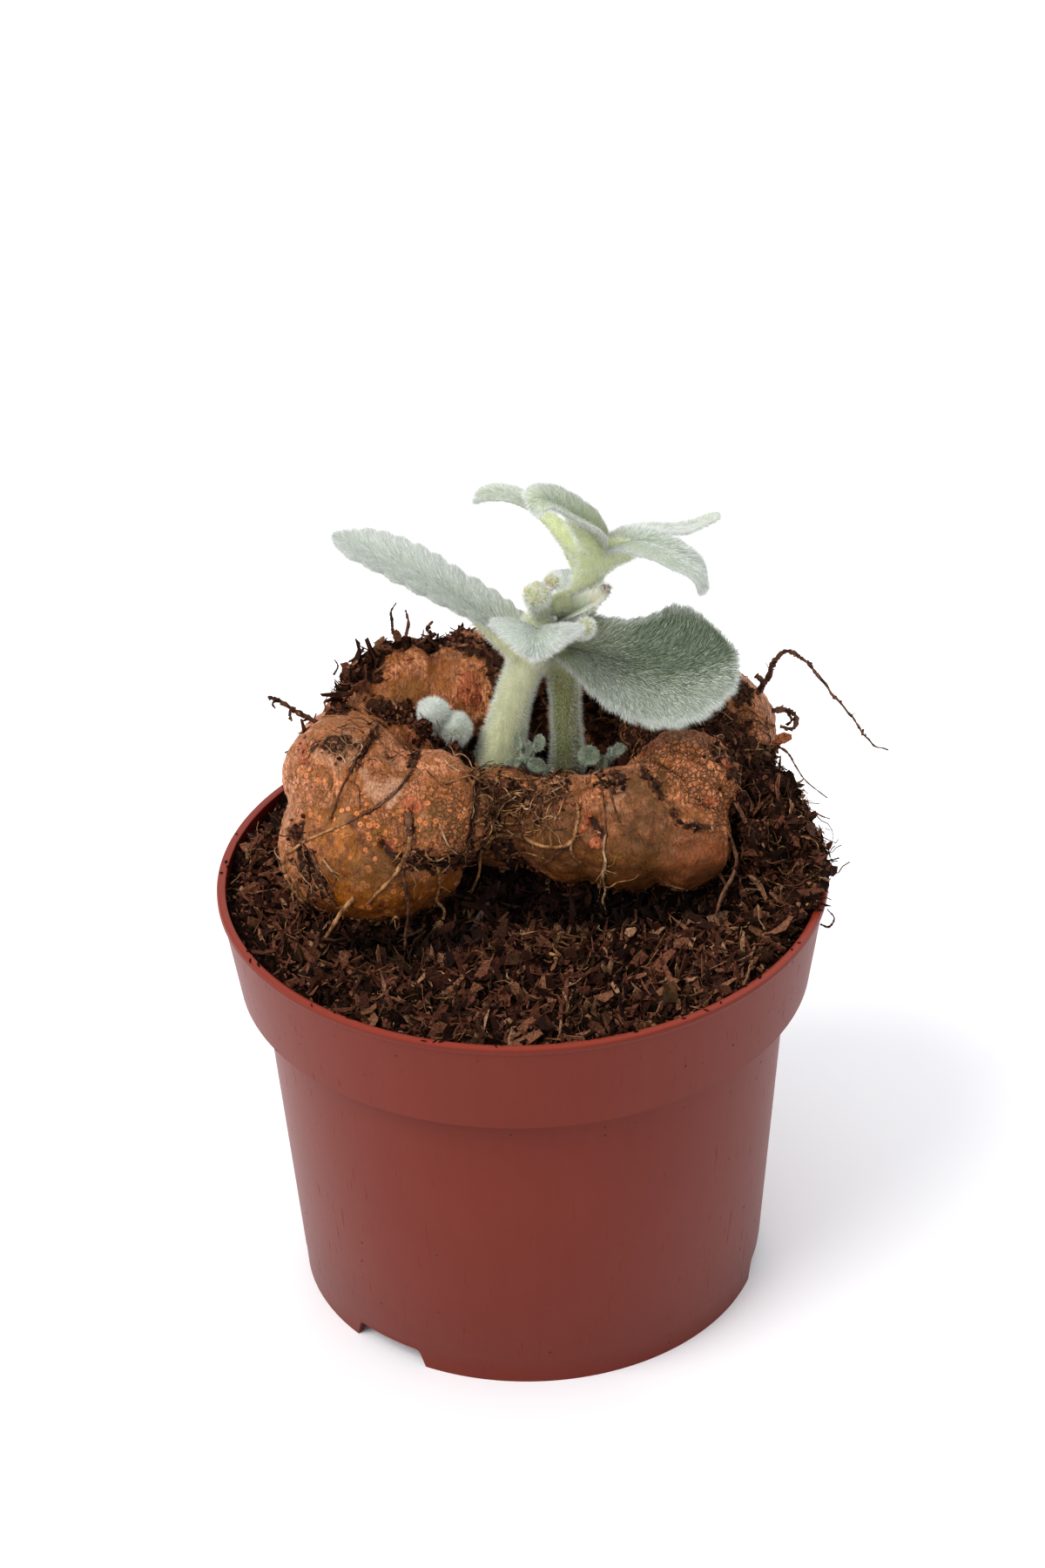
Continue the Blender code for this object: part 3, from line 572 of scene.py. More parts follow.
def potProfile():
    ledge = pot["height"] - pot["collarHeight"]
    top = pot["height"]
    neck = top - pot["lipHeight"]
    floor = pot["footHeight"] + pot["floorThickness"]
    rim = pot["rimRadius"]
    step = pot["stepHeight"]
    wallAt = innerRadius(step) + pot["wall"]
    return [
        (pot["baseRadius"], 0),
        (wallAt - 0.12, step - 0.25),
        (wallAt, step),
        (pot["wallTopRadius"] - 0.1, ledge - 0.5),
        (pot["wallTopRadius"] + 0.5, ledge),
        (pot["collarRadius"] - 0.5, ledge),
        (pot["collarRadius"] - 0.08, ledge + 0.15),
        (pot["collarRadius"], ledge + 0.7),
        (rim - 0.6, neck - 0.1),
        (rim - 0.2, neck + 0.15),
        (rim, neck + 0.5),
        (rim, top - 0.5),
        (rim - 0.15, top - 0.15),
        (rim - 0.5, top),
        (rim - pot["lipWidth"] + 0.4, top),
        (rim - pot["lipWidth"] + 0.1, top - 0.15),
        (rim - pot["lipWidth"], top - 0.5),
        (innerRadius(neck - 1), neck - 1),
        (innerRadius(ledge + pot["wall"] + 0.2), ledge + pot["wall"] + 0.2),
        (pot["wallTopRadius"] - pot["wall"], ledge + pot["wall"]),
        (innerRadius(floor + 2), floor + 2),
        (innerRadius(floor) - 2, floor),
        (pot["centreHole"], floor),
        (pot["centreHole"], pot["footHeight"]),
        (pot["baseRadius"] - pot["footWidth"], pot["footHeight"]),
        (pot["baseRadius"] - pot["footWidth"], 0),
    ]


def notchBlock(azimuth):
    bm = bmesh.new()
    bmesh.ops.create_cube(bm, size=2)
    for vert in bm.verts:
        half = pot["notchWidth"] / 2 - (pot["notchSlant"] if vert.co.z > 0 else 0)
        vert.co = (pot["baseRadius"] - pot["footWidth"] + vert.co.x * pot["notchReach"], vert.co.y * half,
                   pot["notchHeight"] * vert.co.z)
    edges = [edge for edge in bm.edges if edge.verts[0].co.z > 0 and edge.verts[1].co.z > 0
             and abs(edge.verts[0].co.y - edge.verts[1].co.y) < 0.1]
    bmesh.ops.bevel(bm, geom=edges, offset=0.9, offset_type="OFFSET", segments=4, profile=0.5,
                    affect="EDGES", material=-1)
    turn = Matrix.Rotation(math.radians(azimuth), 3, "Z")
    bmesh.ops.rotate(bm, cent=(0, 0, 0), matrix=turn, verts=bm.verts[:])
    return draft("notch", bm)


def drainDrill(azimuth):
    bm = bmesh.new()
    angle = math.radians(azimuth)
    centre = Vector((math.cos(angle), math.sin(angle), 0)) * pot["drainCircle"]
    centre.z = pot["footHeight"] + pot["floorThickness"] / 2
    bmesh.ops.create_cone(bm, cap_ends=True, segments=40, radius1=pot["drainRadius"],
                          radius2=pot["drainRadius"], depth=4 * pot["floorThickness"],
                          matrix=Matrix.Translation(centre))
    return draft("drain", bm)


def potPaint():
    paint = Paint("terracottaPlastic", 0.4, Specular_IOR_Level=0.24)
    height = paint.axis("Z")
    cloud = paint.noise(0.035, 2)
    streak = paint.noise(0.3, 3, paint.stretched((1, 1, 0.12)))
    wall = paint.mix(cloud, (0.138, 0.019, 0.0095), (0.162, 0.0245, 0.013))
    wall = paint.mix(streak * 0.10, wall, (0.26, 0.07, 0.05))
    foot = 1 - paint.between(height, 0.0, 26.0)
    wall = paint.mix(foot * 0.3, wall, (0.130, 0.019, 0.011))
    # painted highlight: the lip's top face is painted a brighter red
    lipHighlight = paint.between(height, 89.5, 89.9)
    wall = paint.mix(lipHighlight * 0.6, wall, (0.26, 0.036, 0.018))
    many = paint.between(paint.noise(0.06, 1), 0.38, 0.62)
    dirt = paint.specks(0.33, (0.12, 0.07), (0.66, 0.74)) * many
    smear = paint.between(paint.noise(0.5, 5, distortion=1.5), 0.77, 0.80)
    smear = smear * paint.between(height, 70.0, 89.0) * 0.25
    marks = paint.maths("MAXIMUM", dirt, smear)
    paint.colour(paint.mix(marks, wall, (0.075, 0.032, 0.020)))
    fine = paint.noise(3.2, 3)
    scratch = paint.noise(1.4, 4, paint.stretched((1.0, 1.0, 0.05), (0.3, 0.5, 0.4)))
    scratch = paint.between(scratch, 0.62, 0.72)
    paint.gloss(0.34 + fine * 0.12 + scratch * 0.2 + marks * 0.4)
    paint.bump(fine * 0.35 + marks * 1.4 + scratch * 0.2, 0.05)
    return paint


def makePot():
    bm = bmesh.new()
    profile = [bm.verts.new((radius, 0, height)) for radius, height in potProfile()]
    ring = [bm.edges.new((one, two)) for one, two in zip(profile, profile[1:] + profile[:1])]
    bmesh.ops.spin(bm, geom=profile + ring, cent=(0, 0, 0), axis=(0, 0, 1), angle=math.tau,
                   steps=pot["segments"], use_merge=True)
    bmesh.ops.recalc_face_normals(bm, faces=bm.faces[:])
    body = draft("potBody", bm)
    tools = bpy.data.collections.new("tools")
    bpy.context.scene.collection.children.link(tools)
    for azimuth in pot["notches"]:
        tools.objects.link(notchBlock(azimuth))
        tools.objects.link(drainDrill(azimuth))
    cut = body.modifiers.new("cut", "BOOLEAN")
    cut.operand_type = "COLLECTION"
    cut.collection = tools
    mesh = evaluated(body)
    for tool in list(tools.objects):
        bpy.data.objects.remove(tool)
    bpy.data.collections.remove(tools)
    piece = settle("potWall", mesh, potPaint(), ["pot"])
    piece.data.set_sharp_from_angle(angle=math.radians(32))


makePot()
print("pot made")


# Tuber: the same lobes as the solid, joined finely, then creased, wrinkled and marked

tuber = {
    "lobes": (
        # centre x, y, z and radii x, y, z
        (-28.7, 1.0, 98.0, 18.2, 17.5, 17.5),
        (-18.5, 0.5, 104.5, 12.5, 13.5, 12.0),
        (-33.2, 8.0, 107.3, 12.6, 13.0, 12.0),
        (-33.6, 20.0, 100.5, 12.0, 14.3, 14.4),
        (-23.6, 37.6, 104.0, 13.6, 13.4, 14.4),
        (-29.4, 31.6, 101.8, 10.8, 12.4, 12.4),
        (-8.5, 40.5, 106.2, 11.5, 12.0, 13.4),
        (36.0, 29.5, 102.0, 15.5, 15.5, 15.0),
        (31.5, 9.5, 102.8, 11.5, 12.0, 11.2),
        (32.0, -0.5, 96.5, 9.5, 10.0, 9.5),
        (21.0, 2.5, 99.0, 13.0, 12.5, 12.4),
        (9.0, 4.0, 98.0, 11.0, 10.5, 11.0),
        (-3.0, 8.0, 98.0, 11.0, 9.5, 10.0),
        (4.0, 25.0, 87.0, 21.0, 15.0, 10.0),
        (-16.0, 22.0, 95.0, 9.0, 8.0, 9.0),
        (8.0, 41.0, 91.0, 20.0, 10.0, 13.8),
    ),
    "voxel": 0.62,
    "smoothing": 9,
    "lumps": ((0.055, 1.3), (0.13, 0.6)),
    "wrinkles": ((0.30, 0.48), (0.75, 0.20), (1.5, 0.07)),
    # strokes drawn on the skin by pixels: width and depth in mm, a negative depth stands proud
    "creases": {
        "globeFold": (((432, 845), (415, 868), (405, 895), (388, 920), (380, 940)), 0.9, 0.6),
        "globeFoldDeep": (((440, 838), (425, 852), (406, 880)), 0.9, 0.7),
        "globeLine": (((400, 892), (412, 905), (414, 925)), 0.9, 0.5),
        "globeArc": (((424, 932), (445, 915), (470, 890), (482, 865), (486, 845)), 1.1, 0.7),
        "bulgeUnder": (((440, 968), (455, 985), (478, 993), (505, 992), (530, 985), (546, 970)), 1.7, 1.5),
        "shoulder": (((352, 828), (375, 815), (400, 812), (425, 820), (445, 832)), 1.6, 1.0),
        "leftSide": (((345, 945), (340, 960), (350, 985), (372, 1015)), 1.4, 0.9),
        "backCrease": (((492, 745), (500, 762), (498, 785), (490, 800)), 2.0, 0.5),
        "backFront": (((425, 812), (450, 822), (475, 822)), 1.8, 1.0),
        "bumpFold": (((716, 878), (740, 872), (765, 880), (788, 898), (804, 920), (830, 932)), 0.8, 0.8),
        "bumpFold2": (((742, 888), (758, 902), (774, 925), (782, 945)), 0.9, 0.4),
        "band1": (((712, 880), (722, 905), (730, 940), (732, 968)), 1.0, 0.6),
        "band2": (((690, 890), (692, 910), (690, 945), (692, 975)), 0.9, 0.5),
        "band3": (((762, 905), (756, 930), (752, 960)), 1.0, 0.5),
        "bumpTop": (((738, 868), (760, 862), (785, 862), (805, 872)), 1.3, 0.6),
        "bumpRight": (((800, 868), (822, 890), (832, 920)), 1.2, 0.5),
        "hole": (((676, 940), (682, 950), (690, 962)), 1.8, 1.5),
        "holeLip": (((668, 938), (668, 958), (680, 968), (694, 966)), 1.1, -0.6),
        "neckLeft": (((545, 880), (550, 905), (548, 935), (545, 965)), 2.4, 1.3),
        "patchEdge": (((780, 968), (800, 960), (828, 960)), 1.0, -0.5),
        "rightLobe": (((800, 812), (830, 820), (860, 838)), 1.6, 0.8),
    },
}


def makeTuberMesh():
    bm = bmesh.new()
    for x, y, z, wide, creaseShadow, high in tuber["lobes"]:
        shape = Matrix.Translation((x, y, z)) @ Matrix.Diagonal((wide, creaseShadow, high, 1))
        bmesh.ops.create_icosphere(bm, subdivisions=5, radius=1, matrix=shape)
    bm = fused(bm, tuber["voxel"], tuber["smoothing"])
    raiseBy(bm, layered(tuber["lumps"]))
    return bm


def layered(layers):
    # relief as the sum of noises, each as often per mm and as high as its row says
    return lambda place: sum(noise.noise(place * often) * high for often, high in layers)


def raiseBy(bm, relief):
    # moves each vertex along its normal by relief(place)
    bm.normal_update()
    shifts = [vert.normal * relief(vert.co) for vert in bm.verts]
    for vert, shift in zip(bm.verts, shifts):
        vert.co += shift


def onSkin(pixels, tree, count, lift=0.0):
    # a route over a surface, under the pixels of the photograph
    route = []
    for u, v, _ in smoothRoute([(u, v, 0) for u, v in pixels], count):
        near, normal, _, _ = tree.ray_cast(eye, pixelRay(u, v))
        if near is None:
            near, normal, _, _ = tree.find_nearest(route[-1] if route else atDepth(u, v, 0))
        route.append(near + normal * lift)
    return route


def creaseTuber(bm):
    # presses the strokes in and returns how deep each vertex lies in one, which the skin's colour takes as
    # painted shade
    tree = BVHTree.FromBMesh(bm)
    strokes = []
    for pixels, width, depth in tuber["creases"].values():
        strokes.append((onSkin(pixels, tree, 7 * len(pixels)), width, depth))
    bm.normal_update()
    shifts = []
    shade = []
    for vert in bm.verts:
        push = 0.0
        dark = 0.0
        for route, width, depth in strokes:
            if (vert.co - route[len(route) // 2]).length > 26:
                continue
            wobble = 1 + 0.45 * noise.noise(vert.co * 0.6)
            away = min((vert.co - place).length for place in route) / (width * wobble)
            if away < 1.6:
                fade = math.exp(-2.2 * away * away)
                push -= depth * fade
                if depth > 0:
                    dark = max(dark, fade * min(depth, 1.0))
        shifts.append(vert.normal * push)
        shade.append(dark)
    for vert, shift in zip(bm.verts, shifts):
        vert.co += shift
    return shade


tuberBody = makeTuberMesh()
tuberShade = creaseTuber(tuberBody)
raiseBy(tuberBody, layered(tuber["wrinkles"]))
tuberMesh = finished("tuberMesh", tuberBody)
tuberTree = surfaceOf(tuberMesh)
print("tuber shaped", len(tuberMesh.polygons))


# Soil: a fine uneven body, chips and crumbs strewn on it, and loose fibres

soil = {
    "level": 86.9,
    "gap": 0.5,
    "steps": 150,
    "heaps": (
        # centre x, centre y, reach, height
        (50.0, 20.0, 14.0, 11.0),
        (56.0, 5.0, 13.0, 8.0),
        (-48.0, 12.0, 8.0, 4.0),
        (-36.0, 42.0, 13.0, 7.0),
        (10.0, 52.0, 16.0, 6.0),
        (36.0, 46.0, 10.0, 4.0),
        (2.0, -6.0, 9.0, -4.5),
        (16.0, -8.5, 9.0, -4.5),
        (30.0, -10.0, 8.0, -3.5),
        (-18.0, -16.5, 8.0, -4.2),
        (-29.0, -19.0, 8.5, -4.0),
        (4.0, 21.0, 14.0, 9.5),
        (-12.0, 26.0, 7.0, 9.0),
        (22.0, 24.0, 8.0, 9.0),
    ),
    "relief": ((0.17, 2.2), (0.38, 2.4), (0.9, 1.3), (1.9, 0.5)),
    # painted shade in the hollows under the tuber: centre x, y and reach x, y
    "shadedHollows": ((14.0, -7.5, 34.0, 8.5), (-22.0, -17.0, 20.0, 8.0), (-6.0, 4.0, 14.0, 12.0)),
    "edgeRise": 5.0,
    "edgeSlope": 1.3,
    # small clods that sit on the rim or the tuber: pixel, depth y, radius
    "clods": (
        ((893, 908), 12, 3.0), ((912, 938), 9, 3.2), ((927, 967), 6, 3.0), ((938, 1000), 1, 2.4),
        ((905, 960), 2, 3.4), ((885, 930), 6, 3.4), ((875, 905), 8, 3.0), ((866, 960), -2, 2.8),
        ((880, 985), -3, 2.6), ((850, 925), 4, 2.4),
        # along the skyline at the back left, and over the rim on the right
        ((384, 812), 24, 1.2), ((394, 792), 28, 1.4), ((407, 774), 31, 1.5), ((423, 759), 35, 1.6),
        ((442, 749), 38, 1.7), ((464, 743), 40, 1.8), ((488, 742), 42, 1.9), ((513, 744), 43, 1.9),
        ((938, 972), 3, 1.3), ((945, 996), 0, 1.1), ((364, 833), 22, 1.0), ((357, 843), 18, 0.8),
        ((521, 864), 20, 1.3), ((506, 852), 21, 1.1),
        # heaped over the lip at the right, and against the wall inside it
        ((940, 976), 1.5, 1.8), ((944, 987), -1.0, 1.5), ((940, 993), -3.5, 1.8), ((944, 1004), -6.1, 1.5),
        ((937, 1012), -8.5, 1.8), ((940, 1022), -11.1, 1.4), ((933, 1030), -13.4, 1.6),
        ((934, 1040), -16.0, 1.1), ((921, 1054), -19.5, 1.5),
        ((919, 1002), -2.9, 2.4), ((916, 1019), -7.5, 2.4), ((914, 1036), -12.2, 2.4),
        ((907, 1053), -16.7, 2.2), ((900, 1069), -21.2, 2.2), ((889, 1085), -25.4, 2.0),
        ((876, 1100), -29.5, 2.0),
        # behind and between the stems, and beside the woolly shoot
        ((622, 794), 42, 4.2), ((642, 797), 42, 3.6), ((662, 797), 43, 3.8), ((686, 800), 42, 4.0),
        ((600, 790), 43, 3.6), ((488, 834), 20, 1.5), ((545, 755), 42, 3.0), ((705, 812), 40, 3.2),
    ),
}


def soilHeight(x, y):
    height = soil["level"]
    for centreX, centreY, reach, rise in soil["heaps"]:
        away = math.hypot(x - centreX, y - centreY) / reach
        height += rise * math.exp(-away * away)
    for often, high in soil["relief"]:
        height += noise.noise(Vector((x * often, y * often, 7))) * high
    inward = max(pot["rimRadius"] - math.hypot(x, y), 0)
    return min(height, soil["level"] + soil["edgeRise"] + soil["edgeSlope"] * inward)


def makeSoilMesh():
    # a square grid drawn into a disc, its edge carried down the pot's inside and closed below
    bm = bmesh.new()
    bmesh.ops.create_grid(bm, x_segments=soil["steps"], y_segments=soil["steps"], size=1)
    edge = innerRadius(soil["level"]) - soil["gap"]
    for vert in bm.verts:
        x = vert.co.x * math.sqrt(1 - vert.co.y ** 2 / 2) * edge
        y = vert.co.y * math.sqrt(1 - vert.co.x ** 2 / 2) * edge
        vert.co = (x, y, soilHeight(x, y))
    ledge = pot["height"] - pot["collarHeight"]
    floor = pot["footHeight"] + pot["floorThickness"]
    border = [item for item in bm.edges if len(item.link_faces) == 1]
    levels = (soil["level"] - 6, ledge + 1.5, ledge - 3, floor + 0.4)
    for height in levels:
        grown = bmesh.ops.extrude_edge_only(bm, edges=border)
        border = [item for item in grown["geom"] if isinstance(item, bmesh.types.BMEdge)]
        radius = innerRadius(height) - soil["gap"]
        for vert in {vert for item in border for vert in item.verts}:
            flat = Vector((vert.co.x, vert.co.y)).normalized() * radius
            vert.co = (flat.x, flat.y, height)
    bmesh.ops.edgeloop_fill(bm, edges=border)
    bmesh.ops.recalc_face_normals(bm, faces=bm.faces[:])
    return finished("soilMesh", bm)


def makeClods():
    bm = bmesh.new()
    for index, (pixel, depth, radius) in enumerate(soil["clods"]):
        shift = Vector((index, 0, 0))
        knob = addKnob(bm, atDepth(*pixel, depth), radius, 3, lambda place: 1
                       + 0.45 * noise.noise(place * 0.5 + shift) + 0.2 * noise.noise(place * 1.4))
        for vert in knob:
            # none reaches through the pot's wall or hangs over its lip
            inside = 2.8 if vert.co.z < pot["height"] + 0.8 else 0.4
            most = min((pot["rimRadius"] - inside) / math.hypot(vert.co.x, vert.co.y), 1)
            vert.co.x *= most
            vert.co.y *= most
    return finished("clods", bm)


def paintedShadeUnderTuber(paint):
    # painted shade: 1 in the middle of the hollows under the tuber, 0 outside them
    flat = paint.vectors("MULTIPLY", paint.spot, (1, 1, 0))
    underShade = 0.0
    for x, y, reachX, reachY in soil["shadedHollows"]:
        away = paint.vectors("SUBTRACT", flat, (x, y, 0))
        away = paint.vectors("DIVIDE", away, (reachX, reachY, 1))
        far = paint.vectors("LENGTH", away, (0, 0, 0), "Value")
        underShade = paint.maths("MAXIMUM", underShade, 1 - paint.between(far, 0.55, 1.1))
    return underShade * (1 - paint.between(paint.axis("Z"), 90.0, 93.0))


def soilPaint(name, dark, light):
    paint = Paint(name, 0.92, Specular_IOR_Level=0.08)
    grain = paint.noise(1.1, 5, rough=0.7)
    patch = paint.noise(0.12, 3)
    tint = paint.mix(paint.between(grain, 0.42, 0.68), dark, light)
    tint = paint.mix(paint.between(patch, 0.5, 0.75) * 0.4, tint, (0.085, 0.040, 0.022))
    # the soil in the hollows under the tuber is painted near black as painted shade
    paint.colour(paint.mix(paintedShadeUnderTuber(paint) * 0.85, tint, (0.004, 0.002, 0.0015)))
    paint.bump(grain + paint.noise(3.5, 4, rough=0.7) * 0.5, 0.5)
    return paint


def chipPaint(name, stops, underShade=False):
    # each chip takes its own colour from its tone
    paint = Paint(name, 0.8, Specular_IOR_Level=0.12)
    tone = paint.attribute("tone")
    grain = paint.noise(2.2, 5, rough=0.8)
    tint = paint.mix(paint.between(grain, 0.42, 0.62) * 0.75, paint.ramp(tone, stops), (0.012, 0.005, 0.003))
    tint = paint.mix(paint.between(paint.noise(0.13, 2), 0.56, 0.72) * 0.30, tint, (0.095, 0.068, 0.020))
    # chips in the hollows under the tuber are painted darker as painted shade
    if underShade:
        tint = paint.mix(paintedShadeUnderTuber(paint) * 0.8, tint, (0.006, 0.003, 0.002))
    paint.colour(tint)
    paint.bump(grain, 0.15)
    return paint


chipTones = [(0.0, (0.014, 0.006, 0.004)), (0.30, (0.060, 0.022, 0.013)), (0.65, (0.185, 0.070, 0.040)),
             (0.90, (0.29, 0.135, 0.075)), (1.0, (0.42, 0.25, 0.145))]
fibreTones = [(0.0, (0.045, 0.020, 0.011)), (0.6, (0.125, 0.058, 0.029)), (1.0, (0.36, 0.21, 0.11))]


def dropHidden(mesh, test):
    # leaves out the faces whose middle fails the test
    bm = meshCopy(mesh)
    gone = [face for face in bm.faces if not test(face.calc_center_median())]
    bmesh.ops.delete(bm, geom=gone, context="FACES")
    return finished(mesh.name, bm)


def inTuber(place, depth=1.2):
    near, normal, _, _ = tuberTree.find_nearest(place)
    return (place - near).dot(normal) < -depth


def makeSoil():
    body = makeSoilMesh()
    clods = makeClods()
    peat = soilPaint("peat", (0.006, 0.003, 0.002), (0.050, 0.020, 0.012))
    settle("soilBody", body, peat, ["soil"])
    peat = soilPaint("peatClods", (0.012, 0.005, 0.003), (0.085, 0.036, 0.021))
    settle("soilClods", clods, peat)
    edge = innerRadius(soil["level"]) - soil["gap"]

    def inward(place):
        return edge - math.hypot(place.x, place.y)

    def bare(place):
        return inward(place) > 0.7 and place.z > soil["level"] - 8 and not inTuber(place)

    chips = several(flake, "chip", 1, (3.6, 1.3, 0.5), (2.8, 1.0, -0.5), (4.8, 1.1, 0.6), (2.2, 0.8, 0.4),
                    (5.6, 1.9, 0.4), (2.6, 1.7, 0.8), (5.4, 0.6, 0.8), (3.4, 2.0, -0.6), (3.8, 0.5, 0.7))
    crumbs = several(lump, "crumb", 11, ((0.6, 0.5, 0.4), 0.35), ((0.75, 0.35, 0.3), 0.35),
                     ((0.45, 0.45, 0.35), 0.4))
    fibres = several(fibre, "fibre", 21, (7, 0.16, 0.6), (5, 0.12, 0.9), (9, 0.13, 0.7), (4, 0.10, 1.1),
                     (6, 0.2, 0.4))
    ground = finished("ground", meshCopy(dropHidden(body, bare), clods))
    # the heap on the right is finer and full of fibres
    heaped = [clamped((vert.co.x * 0.9 - abs(vert.co.y - 12) * 0.35 - 26) / 10) for vert in ground.vertices]
    # nothing long lies so near the wall that it would reach through it
    clear = [clamped((inward(vert.co) - 2.2) / 1.2) if vert.co.z < pot["height"] + 1 else 1
             for vert in ground.vertices]
    markVerts(ground, "fibrous", [(0.40 + 0.60 * value) * free for value, free in zip(heaped, clear)])
    markVerts(ground, "chippy", [(1 - 0.7 * value) * free for value, free in zip(heaped, clear)])
    chipMesh = scatter(ground, chips, 0.44, (0.22, 1.45), 31, "chippy", jitter=0.75, lift=0.4)
    crumbMesh = scatter(ground, crumbs, 0.32, (0.4, 1.3), 41, jitter=0.6, lift=0.2)
    fibreMesh = scatter(ground, fibres, 0.16, (0.35, 1.2), 51, "fibrous", jitter=0.6, lift=0.7)
    settle("soilChips", chipMesh, chipPaint("peatChips", chipTones, True), smooth=False)
    settle("soilCrumbs", crumbMesh, chipPaint("peatCrumbs", chipTones, True), smooth=False)
    settle("soilFibres", fibreMesh, chipPaint("peatFibres", fibreTones, True))
    return body


def makeRimCrumbs():
    # a few crumbs that lie on the pot's lip
    draw = random.Random(171)
    bm = bmesh.new()
    for _ in range(70):
        angle = draw.uniform(0, math.tau)
        radius = pot["rimRadius"] - draw.uniform(0.5, 2.6)
        place = Matrix.Translation((math.cos(angle) * radius, math.sin(angle) * radius, pot["height"] + 0.1))
        turn = Matrix.Rotation(draw.uniform(0, math.tau), 4, "Z")
        size = Matrix.Diagonal((draw.uniform(0.2, 1.0), draw.uniform(0.12, 0.4), draw.uniform(0.10, 0.25), 1))
        bmesh.ops.create_icosphere(bm, subdivisions=1, radius=1, matrix=place @ turn @ size)
    settle("rimCrumbs", bm, chipPaint("rimCrumbs", chipTones), smooth=False)


soilMesh = makeSoil()
makeRimCrumbs()
groundTree = surfaceOf(tuberMesh, soilMesh)
print("soil made")


# Tuber skin: marks drawn through the photograph's pixels, as pixels, width in mm and strength

